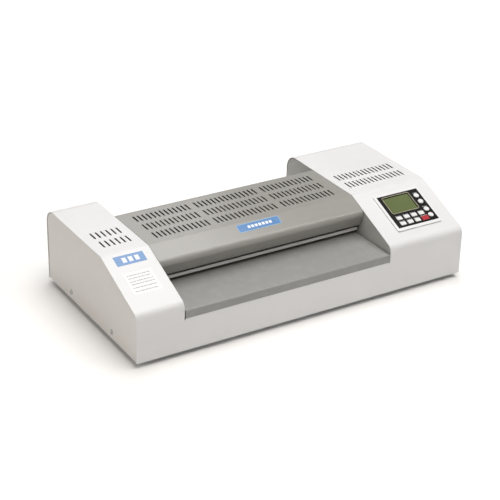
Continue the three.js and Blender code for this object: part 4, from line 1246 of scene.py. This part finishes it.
@dataclass
class Keypad:
    """The keypad: white frame, black film, display and twelve keys."""

    layout: Layout
    face: float = 2.0 * MM
    film: float = 0.15 * MM
    margins: tuple[float, float, float, float] = (4.5 * MM, 2.2 * MM, 4.2 * MM, 5.3 * MM)
    gap: float = 0.35 * MM
    rise: float = 1.0 * MM
    trim: float = 0.7 * MM
    trim_reach: float = 0.9 * MM
    trim_rise: float = 0.45 * MM
    trim_round: float = 3.2 * MM
    window_depth: float = 1.5 * MM
    window_rims: tuple[float, float] = (0.5 * MM, 0.7 * MM)
    flange_width: float = 0.7 * MM
    flange_depth: float = 1.4 * MM
    stem_radius: float = 1.5 * MM
    dash_height: float = 0.55 * MM
    dash_gap: float = 0.25 * MM
    dash_ends: tuple[tuple[float, float], ...] = ((-0.5, -0.18), (-0.1, 0.22), (0.3, 0.5))

    def build(self) -> None:
        """Builds the keypad flat and lays each piece on the slope."""
        self.plan = KeypadPlan.read(self.layout)
        self.lie = self.layout.slope.inverted()
        keys = [n for n in frame["nodes"] if "button" in n or "key" in n]
        self.keys = {name: self.flat_box(name) for name in sorted(keys)}
        self.window = self.flat_box("display_module")
        self.frame_plate()
        self.black_film()
        self.display()
        for name, (low, high) in self.keys.items():
            self.key(name, low, high)
        self.legends()
        dress(frame["nodes"]["control_board"], CIRCUIT)

    def flat_box(self, node: str) -> tuple[Vector, Vector]:
        """A node's box in the frame of the slope.

        Args:
            node: The node.

        Returns:
            Its lowest and highest corners there.
        """
        points = [self.lie @ v.co for v in frame["nodes"][node].data.vertices]
        low = Vector([min(p[i] for p in points) for i in range(3)])
        high = Vector([max(p[i] for p in points) for i in range(3)])
        return low, high

    def holes(self, margin: float) -> list[bpy.types.Object]:
        """Tools for the window and for every key.

        Args:
            margin: The gap round each key, beyond its cap.

        Returns:
            The tools, flat.
        """
        tools = [block("hole", *self.window_box(-SMALL, -MM, CUTTER))]
        for name, (low, high) in self.keys.items():
            tools.append(self.cap(name, low, high, margin, -MM, CUTTER))
        return tools

    def window_box(self, rim: float, base: float, top: float) -> tuple[Place, Place]:
        """The corners of a box in the window.

        Args:
            rim: How far it lies inside the display's outline.
            base: Its lower end.
            top: Its upper end.

        Returns:
            Its lowest and highest corners.
        """
        low, high = self.window
        return (low.x + rim, low.y + rim, base), (high.x - rim, high.y - rim, top)

    def cap(
        self, name: str, low: Vector, high: Vector, grow: float, base: float, top: float
    ) -> bpy.types.Object:
        """A plain bar with a key's outline.

        Args:
            name: The key's node.
            low: The node's lowest corner, which is its flange's.
            high: The node's highest corner.
            grow: How far it stands outside the cap.
            base: Its lower end.
            top: Its upper end.

        Returns:
            The bar, flat.
        """
        middle = (low + high) / 2
        half_x = (high.x - low.x) / 2 - self.flange_width + grow
        half_y = (high.y - low.y) / 2 - self.flange_width + grow
        if "round" in name:
            return disc("cap", (middle.x, middle.y, (base + top) / 2), half_x, top - base, sides=40)
        low_cap = (middle.x - half_x, middle.y - half_y, base)
        return prism("cap", low_cap, (middle.x + half_x, middle.y + half_y, top), MM + grow, 4)

    def lay(
        self, piece: bpy.types.Object, finish: Finish | DisplayFace, node: str = "", body: str = "chassis"
    ) -> None:
        """Lays a flat piece on the slope and hands it over.

        Args:
            piece: The piece.
            finish: Its finish.
            node: The node that it stands for, if any.
            body: The body that it rides on.
        """
        move(piece, self.layout.slope)
        hand_over(piece, finish, body, *([node] if node else []))

    def frame_plate(self) -> None:
        """The white frame of the keypad, a plate with rounded corners."""
        at = self.plan
        plate = prism("keypad_frame", (at.x0, -at.t1, SMALL), (at.x1, -at.t0, self.face), 2.5 * MM, 6)
        carve(plate, self.holes(self.gap))
        soften(plate, 0.35 * MM, 3)
        self.lay(plate, WHITE_PLASTIC, "panel_bezel")

    def black_film(self) -> None:
        """The printed film on the frame, cut out round the window and the keys."""
        at = self.plan
        left, right, upper, lower = self.margins
        low = (at.x0 + left, -at.t1 + lower, self.face + FLOAT)
        high = (at.x1 - right, -at.t0 - upper, self.face + self.film)
        film = prism("keypad_film", low, high, 0.6 * MM, 3)
        carve(film, self.holes(self.gap))
        soften(film, 0.0)
        self.lay(film, PANEL_FILM)

    def display(self) -> None:
        """The display: a green face set deep in a dark well, and a rounded trim round the window."""
        deep = self.face - self.window_depth
        wall, rim = self.window_rims
        face = block("display_face", *self.window_box(rim, deep - 2 * MM, deep))
        soften(face, 0.15 * MM)
        self.lay(face, DISPLAY_FACE, "display_module")
        well = block("display_well", *self.window_box(0.0, deep - 3 * MM, self.face - SMALL))
        carve(well, [block("hole", *self.window_box(wall, deep - 2.1 * MM, CUTTER))])
        soften(well, 0.2 * MM)
        self.lay(well, PANEL_FILM)
        outer = self.window_box(-self.trim_reach, self.face + self.film, self.face + self.trim_rise)
        trim = prism("display_trim", *outer, self.trim_round, 6)
        inner = self.window_box(self.trim - self.trim_reach, 0, CUTTER)
        carve(trim, [prism("hole", *inner, self.trim_round - self.trim, 6)])
        soften(trim, 0.1 * MM)
        self.lay(trim, DISPLAY_TRIM)

    def key(self, name: str, low: Vector, high: Vector) -> None:
        """One key: a cap with a soft rim, its flange and its stem.

        Args:
            name: The key's node.
            low: The node's lowest corner in the frame of the slope.
            high: Its highest corner.
        """
        middle = (low + high) / 2
        depth = self.flange_depth
        cap = self.cap(name, low, high, 0.0, -depth, self.face + self.rise)
        with editing(cap):
            pick_faces(cap, lambda m, n: n.z > FACING)
            bpy.ops.mesh.inset(thickness=0.5 * MM, depth=0)
            bpy.ops.mesh.inset(thickness=0.35 * MM, depth=-0.12 * MM)
        soften(cap, 0.4 * MM, 3, angle=50)
        fuse(cap, prism("flange", (low.x, low.y, -depth), (high.x, high.y, 0), 1.5 * MM, 3))
        stem_middle = (middle.x, middle.y, (low.z - MM) / 2)
        fuse(cap, disc("stem", stem_middle, self.stem_radius, -MM - low.z, sides=20))
        cap.name = f"{name}_cap"
        self.lay(cap, RED_PLASTIC if name == "stop_key" else WHITE_PLASTIC, name, f"{name}_press")

    def legends(self) -> None:
        """Small plain dashes printed on the film beside the keys."""
        dashes = []
        base = self.face + self.film
        for name, (low, high) in self.keys.items():
            if name in ("round_button_2", "round_button_4"):
                continue
            middle, y = (low.x + high.x) / 2, high.y + self.dash_gap
            span = high.x - low.x - 2 * self.flange_width
            for start, end in self.dash_ends:
                low_dash = (middle + start * span, y, base)
                high_dash = (middle + end * span, y + self.dash_height, base + PRINT)
                dashes.append(block("dash", low_dash, high_dash))
        self.lay(join("keypad_marks", dashes), PRINT_WHITE)


@dataclass
class Labels:
    """Plain labels on the slopes: films with simple bars in place of any wording."""

    layout: Layout
    thickness: float = 0.12 * MM
    line_places: tuple[float, ...] = (44.5, 49.5, 55.5, 60.5, 67.0, 73.5)
    line_start: float = -260.5
    line_end: float = -225.0
    line_height: float = 1.0
    word_gap: float = 0.9

    def build(self) -> None:
        """Lays the three labels and their printed bars."""
        self.film("left_badge", LABEL_BLUE, (-265, -218.5), (6.8, 24.8), 0.6)
        self.bars("left_badge_bars", PRINT_WHITE, self.row(-254, 3, 10, 6.5, (11.2, 20.4)))
        self.film("left_notice", LABEL_PAPER, (-265, -220.5), (38.9, 79.6), 0.8)
        self.bars("left_notice_lines", PRINT_GREY, self.lines())
        self.film("cover_badge_edge", BADGE_EDGE, (-64, 8.5), (3.6, 19.4), 2.4)
        self.film("cover_badge", LABEL_BLUE, (-62.9, 7.4), (4.7, 18.3), 1.6, 0.12)
        self.bars("cover_badge_bars", PRINT_WHITE, self.row(-47, 7, 6.1, 4.4, (9.0, 14.0)), 0.24)

    @staticmethod
    def row(start: float, count: int, pitch: float, width: float, down: tuple[float, float]) -> list[Bar]:
        """A row of equal bars, in millimetres.

        Args:
            start: The first bar's left end.
            count: How many there are.
            pitch: From one to the next.
            width: How wide each is.
            down: Their two edges down the slope.

        Returns:
            The bars.
        """
        return [(start + pitch * i, start + width + pitch * i, *down) for i in range(count)]

    def lines(self) -> list[Bar]:
        """The notice's lines, as dashes of uneven lengths.

        Returns:
            The dashes.
        """
        dashes = []
        for row, t in enumerate(self.line_places):
            x, k = self.line_start, 0
            while x < self.line_end - 1:
                length = 2.2 + ((row * 5 + k * 3) % 4) * 1.3
                dashes.append((x, min(x + length, self.line_end), t, t + self.line_height))
                x += length + self.word_gap
                k += 1
        return dashes

    def film(
        self, name: str, finish: Finish, across: tuple[float, float], down: tuple[float, float],
        corner: float, lift: float = 0.0,
    ) -> None:
        """One label film.

        Args:
            name: The piece's name.
            finish: Its finish.
            across: Its two ends in X, in millimetres.
            down: Its two edges down the slope, in millimetres.
            corner: The radius of its corners.
            lift: How far it lies over the slope.
        """
        base = lift * MM + FLOAT
        low = (across[0] * MM, -down[1] * MM, base)
        high = (across[1] * MM, -down[0] * MM, base + self.thickness)
        film = prism(name, low, high, corner * MM, 4)
        soften(film, 0.0)
        move(film, self.layout.slope)
        hand_over(film, finish, "chassis")

    def bars(self, name: str, finish: Finish, bars: list[Bar], lift: float = 0.12) -> None:
        """Bars printed on a label, as one piece.

        Args:
            name: The piece's name.
            finish: Their ink.
            bars: For each, its ends in X and its edges down the slope, in millimetres.
            lift: The height of the label's face over the slope.
        """
        base = lift * MM + FLOAT
        made = [
            block("bar", (x0 * MM, -t1 * MM, base), (x1 * MM, -t0 * MM, base + PRINT))
            for x0, x1, t0, t1 in bars
        ]
        joined = join(name, made)
        move(joined, self.layout.slope)
        hand_over(joined, finish, "chassis")


@dataclass
class Works:
    """What is inside: rollers, gears, drive, heaters, fan and boards."""

    layout: Layout
    chamfer: float = 0.6 * MM
    bore_radius: float = 11.3 * MM
    bore_length: float = 1.0

    def build(self) -> None:
        """Makes the roller sleeves anew and dresses the rest."""
        self.sleeves()
        for name, node in frame["nodes"].items():
            if finish := self.finish_of(name):
                dress(node, finish)

    def sleeves(self) -> None:
        """Four silicone sleeves with broken edges, turned smooth."""
        for name in ("front_lower", "front_upper", "rear_lower", "rear_upper"):
            low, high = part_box(f"{name}_sleeve")
            middle = (low + high) / 2
            radius = (high.z - low.z) / 2
            sleeve = disc(f"{name}_sleeve_rubber", tuple(middle), radius, high.x - low.x, Axis.X, 96)
            carve(sleeve, [disc("bore", tuple(middle), self.bore_radius, self.bore_length, Axis.X, 64)])
            soften(sleeve, self.chamfer)
            # the sleeves' very dark silicone is partly painted shade in the feed gap
            hand_over(sleeve, SILICONE_PAINTED_SHADE, f"{name}_roller", f"{name}_sleeve")

    @staticmethod
    def finish_of(name: str) -> Finish | None:
        """The finish of an inner node.

        Args:
            name: The node.

        Returns:
            Its finish, or None if another class dresses it.
        """
        table = {
            "_gear": NYLON, "_shaft": STEEL, "idler_stud": STEEL, "motor_pinion": STEEL,
            # heaters: near-black partly as painted shade in the slots and the feed gap
            "heater": HEATER_COAT_PAINTED_SHADE,
            "bearing": BLACK_PLASTIC, "frame_plate": ZINC, "motor_bracket": ZINC, "drive_motor": ZINC,
            "fan_": BLACK_PLASTIC, "main_board": CIRCUIT,
        }
        return next((finish for key, finish in table.items() if key in name), None)


@dataclass
class RearElectrics:
    """The mains inlet and its rocker switch on the back of the right housing."""

    layout: Layout
    flange: float = 3 * MM
    rim: float = 4 * MM
    socket_width: float = 25 * MM
    socket_depth: float = 16 * MM
    socket_round: float = 5 * MM
    well_depth: float = 11 * MM
    well_half: float = 10.3 * MM
    pin_pitch: float = 6.5 * MM
    pin_half: tuple[float, float] = (MM, 2 * MM)
    pin_end: float = 3 * MM
    rocker_span: tuple[float, float] = (-1.0 * MM, 4.8 * MM)
    rocker_half: float = 9.2 * MM
    rocker_dip: float = 0.9 * MM
    rocker_rise: float = 2.5 * MM
    rocker_tilt: float = math.radians(-8)

    def build(self) -> None:
        """Builds the inlet and the rocker."""
        self.inlet()
        self.rocker()

    def inlet(self) -> None:
        """The inlet: a flanged box with a socket, three pins and a well for the rocker."""
        low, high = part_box("power_inlet")
        back, rim = self.layout.high.y, self.flange
        body = block("inlet_body", (low.x + rim, low.y, low.z + rim), (high.x - rim, back + MM, high.z - rim))
        plate = block("plate", (low.x, back + SMALL, low.z), (high.x, high.y, high.z))
        round_edges(plate, lambda a, b: abs(a.y - b.y) > MM, 3 * MM, 6)
        fuse(body, plate)
        x0 = low.x + 2 * rim
        bottom, out = back - self.socket_depth, back + 5 * MM
        z0, z1 = low.z + rim + self.rim, high.z - rim - self.rim
        socket = block("socket", (x0, bottom, z0), (x0 + self.socket_width, out, z1))
        round_edges(
            socket, lambda a, b: abs(a.y - b.y) > MM and max(a.z, b.z) < z0 + MM, self.socket_round, 1
        )
        rocker_low, rocker_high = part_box("rocker_switch")
        middle, half = (low.z + high.z) / 2, self.well_half
        low_well = (rocker_low.x - SMALL, back - self.well_depth, middle - half)
        well = block("well", low_well, (rocker_high.x + SMALL, out, middle + half))
        carve(body, [socket, well])
        soften(body, 0.3 * MM)
        hand_over(body, BLACK_PLASTIC, "chassis", "power_inlet")
        pins = []
        for x in spread(x0 + self.socket_width / 2, 3, self.pin_pitch):
            dx, dz = self.pin_half
            pin = block("pin", (x - dx, bottom, middle - dz), (x + dx, back - self.pin_end, middle + dz))
            round_edges(pin, lambda a, b: min(a.y, b.y) > back - self.pin_end - MM, 0.4 * MM, 2)
            pins.append(pin)
        blades = join("inlet_pins", pins)
        soften(blades, 0.0)
        hand_over(blades, STEEL, "chassis")

    def rocker(self) -> None:
        """The rocker: a shallow V with rounded edges, standing out at the top."""
        low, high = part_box("rocker_switch")
        pivot = Vector(next(j for j in frame["joints"] if j["name"] == "rocker_tip")["pos_m"])
        (inner, outer), half = self.rocker_span, self.rocker_half
        body = block("rocker_cap", (low.x, inner, -half), (high.x, outer, half))
        bisect(body, (0, 0, 0), (0, 0, 1), keep=True)
        with editing(body):
            pick_edges(body, lambda a, b: max(abs(a.z), abs(b.z)) < SMALL and min(a.y, b.y) > outer - MM)
            bpy.ops.transform.translate(value=(0, -self.rocker_dip, 0))
            pick_edges(body, lambda a, b: min(abs(a.z), abs(b.z)) > half - SMALL and max(a.y, b.y) < 0)
            bpy.ops.transform.translate(value=(0, self.rocker_rise, 0))
        soften(body, 0.5 * MM, 3, angle=25)
        move(body, Matrix.Translation((0, pivot.y, pivot.z)) @ Matrix.Rotation(self.rocker_tilt, 4, "X"))
        hand_over(body, BLACK_PLASTIC, "rocker", "rocker_switch")


@dataclass
class Studio:
    """The pale floor, the soft lights and the camera."""

    camera_place: Place = (-1.0607, -1.6894, 1.0687)
    azimuth: float = math.radians(-31.84)
    elevation: float = math.radians(27.05)
    roll: float = math.radians(1.36)
    lens: float = 105.85
    sensor: float = 36.0
    aim: Place = (0.0, 0.0, 0.06)
    fill: float = 0.05
    floor_size: float = 16.0
    # painted glow on the floor: emission seen only by the camera, weak near the object and strong further out
    glow_reach: tuple[float, float] = (0.28, 1.2)
    paper: tuple[Colour, Colour] = ((0.93, 0.92, 0.905), (0.925, 0.915, 0.90))
    glow: tuple[float, float] = (0.06, 0.75)
    boxes: tuple[tuple[str, Place, tuple[float, float], float, Colour], ...] = (
        ("overhead", (0.3, 0.1, 2.3), (1.7, 1.7), 38.0, (1.0, 1.0, 1.0)),
        ("top_back", (0.3, 1.7, 1.7), (1.5, 1.5), 9.0, (1.0, 1.0, 1.0)),
        ("top_front", (-0.2, -1.15, 2.3), (1.3, 1.3), 19.0, (1.0, 0.965, 0.935)),
        ("left_box", (-2.2, -0.2, 1.2), (1.3, 1.3), 9.5, (1.0, 0.93, 0.81)),
        ("edge_strip", (1.12, -1.09, 1.82), (1.3, 0.1), 7.5, (1.0, 0.98, 0.96)),
    )

    def build(self) -> None:
        """Sets up the studio."""
        self.camera()
        self.floor()
        self.lights()

    def camera(self) -> None:
        """Places the camera."""
        a, e = self.azimuth, self.elevation
        back = Vector((math.sin(a) * math.cos(e), -math.cos(a) * math.cos(e), math.sin(e)))
        right = (-back).cross(Vector((0, 0, 1))).normalized()
        up = right.cross(-back)
        across = right * math.cos(self.roll) + up * math.sin(self.roll)
        upward = up * math.cos(self.roll) - right * math.sin(self.roll)
        data = bpy.data.cameras.new("camera")
        data.lens = self.lens
        data.sensor_width = self.sensor
        camera = bpy.data.objects.new("camera", data)
        turn = Matrix((across, upward, back)).transposed().to_4x4()
        camera.matrix_world = Matrix.Translation(self.camera_place) @ turn
        bpy.context.scene.collection.objects.link(camera)
        bpy.context.scene.camera = camera

    def floor(self) -> None:
        """Lays the pale floor with a painted glow: an emission seen only by the camera, weak near the object
        and stronger away from it.
        """
        clear_selection()
        bpy.ops.mesh.primitive_plane_add(size=self.floor_size, location=(0, 0, 0))
        floor = bpy.context.active_object
        floor.name = "floor"
        material = bpy.data.materials.new("floor_paper")
        material.use_nodes = True
        wiring = Wiring(material.node_tree)
        shader = material.node_tree.nodes["Principled BSDF"]
        place = wiring.add("ShaderNodeTexCoord").outputs["Object"]
        away = wiring.add("ShaderNodeVectorMath", {0: place}, operation="LENGTH").outputs["Value"]
        near, far = self.glow_reach
        dim, bright = self.glow
        stretch = {"Value": away, "From Min": near, "From Max": far, "To Min": dim, "To Max": bright}
        # painted glow: it rises with the distance from the object, so the floor stays dimmer round it
        glow = wiring.add("ShaderNodeMapRange", stretch, interpolation_type="SMOOTHSTEP")
        seen = wiring.add("ShaderNodeLightPath").outputs["Is Camera Ray"]
        strength = wiring.maths("MULTIPLY", glow.outputs["Result"], seen)
        fibre = wiring.group("fine_grain", place, Scale=500.0)
        paper = wiring.mix(fibre["Tone"], (*self.paper[0], 1.0), (*self.paper[1], 1.0))
        material.node_tree.links.new(paper, shader.inputs["Base Color"])
        material.node_tree.links.new(strength, shader.inputs["Emission Strength"])
        shader.inputs["Emission Color"].default_value = (1, 1, 1, 1)
        shader.inputs["Roughness"].default_value = 0.9
        shader.inputs["Specular IOR Level"].default_value = 0.1
        floor.data.materials.append(material)

    def lights(self) -> None:
        """Hangs the soft boxes and fills the room with a pale sky."""
        scene = bpy.context.scene
        scene.view_settings.view_transform = "Standard"
        world = scene.world or bpy.data.worlds.new("room")
        scene.world = world
        world.use_nodes = True
        wiring = Wiring(world.node_tree)
        sky = world.node_tree.nodes["Background"]
        seen = wiring.add("ShaderNodeLightPath").outputs["Is Camera Ray"]
        level = wiring.maths("MULTIPLY_ADD", seen, 1.0 - self.fill, self.fill)
        world.node_tree.links.new(level, sky.inputs["Strength"])
        sky.inputs["Color"].default_value = (1.0, 1.0, 1.0, 1)
        for name, place, (width, height), power, colour in self.boxes:
            data = bpy.data.lights.new(name, "AREA")
            data.shape = "RECTANGLE"
            data.size = width
            data.size_y = height
            data.energy = power
            data.color = colour
            light = bpy.data.objects.new(name, data)
            aim = Vector(self.aim) - Vector(place)
            if width > 2 * height:
                aim.x = 0  # a strip light hangs level, along the machine
            light.rotation_euler = aim.to_track_quat("-Z", "Y").to_euler()
            light.location = place
            scene.collection.objects.link(light)


def main() -> None:
    """Builds the laminator and its studio, and reports each piece."""
    logging.basicConfig(level=logging.INFO, format="%(name)s: %(message)s")
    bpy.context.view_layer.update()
    Studio().build()
    layout = Layout.read()
    for sub_assembly in (Casing, Cover, DocumentPath, Keypad, Labels, Works, RearElectrics):
        sub_assembly(layout).build()


if __name__ == "__main__":
    main()
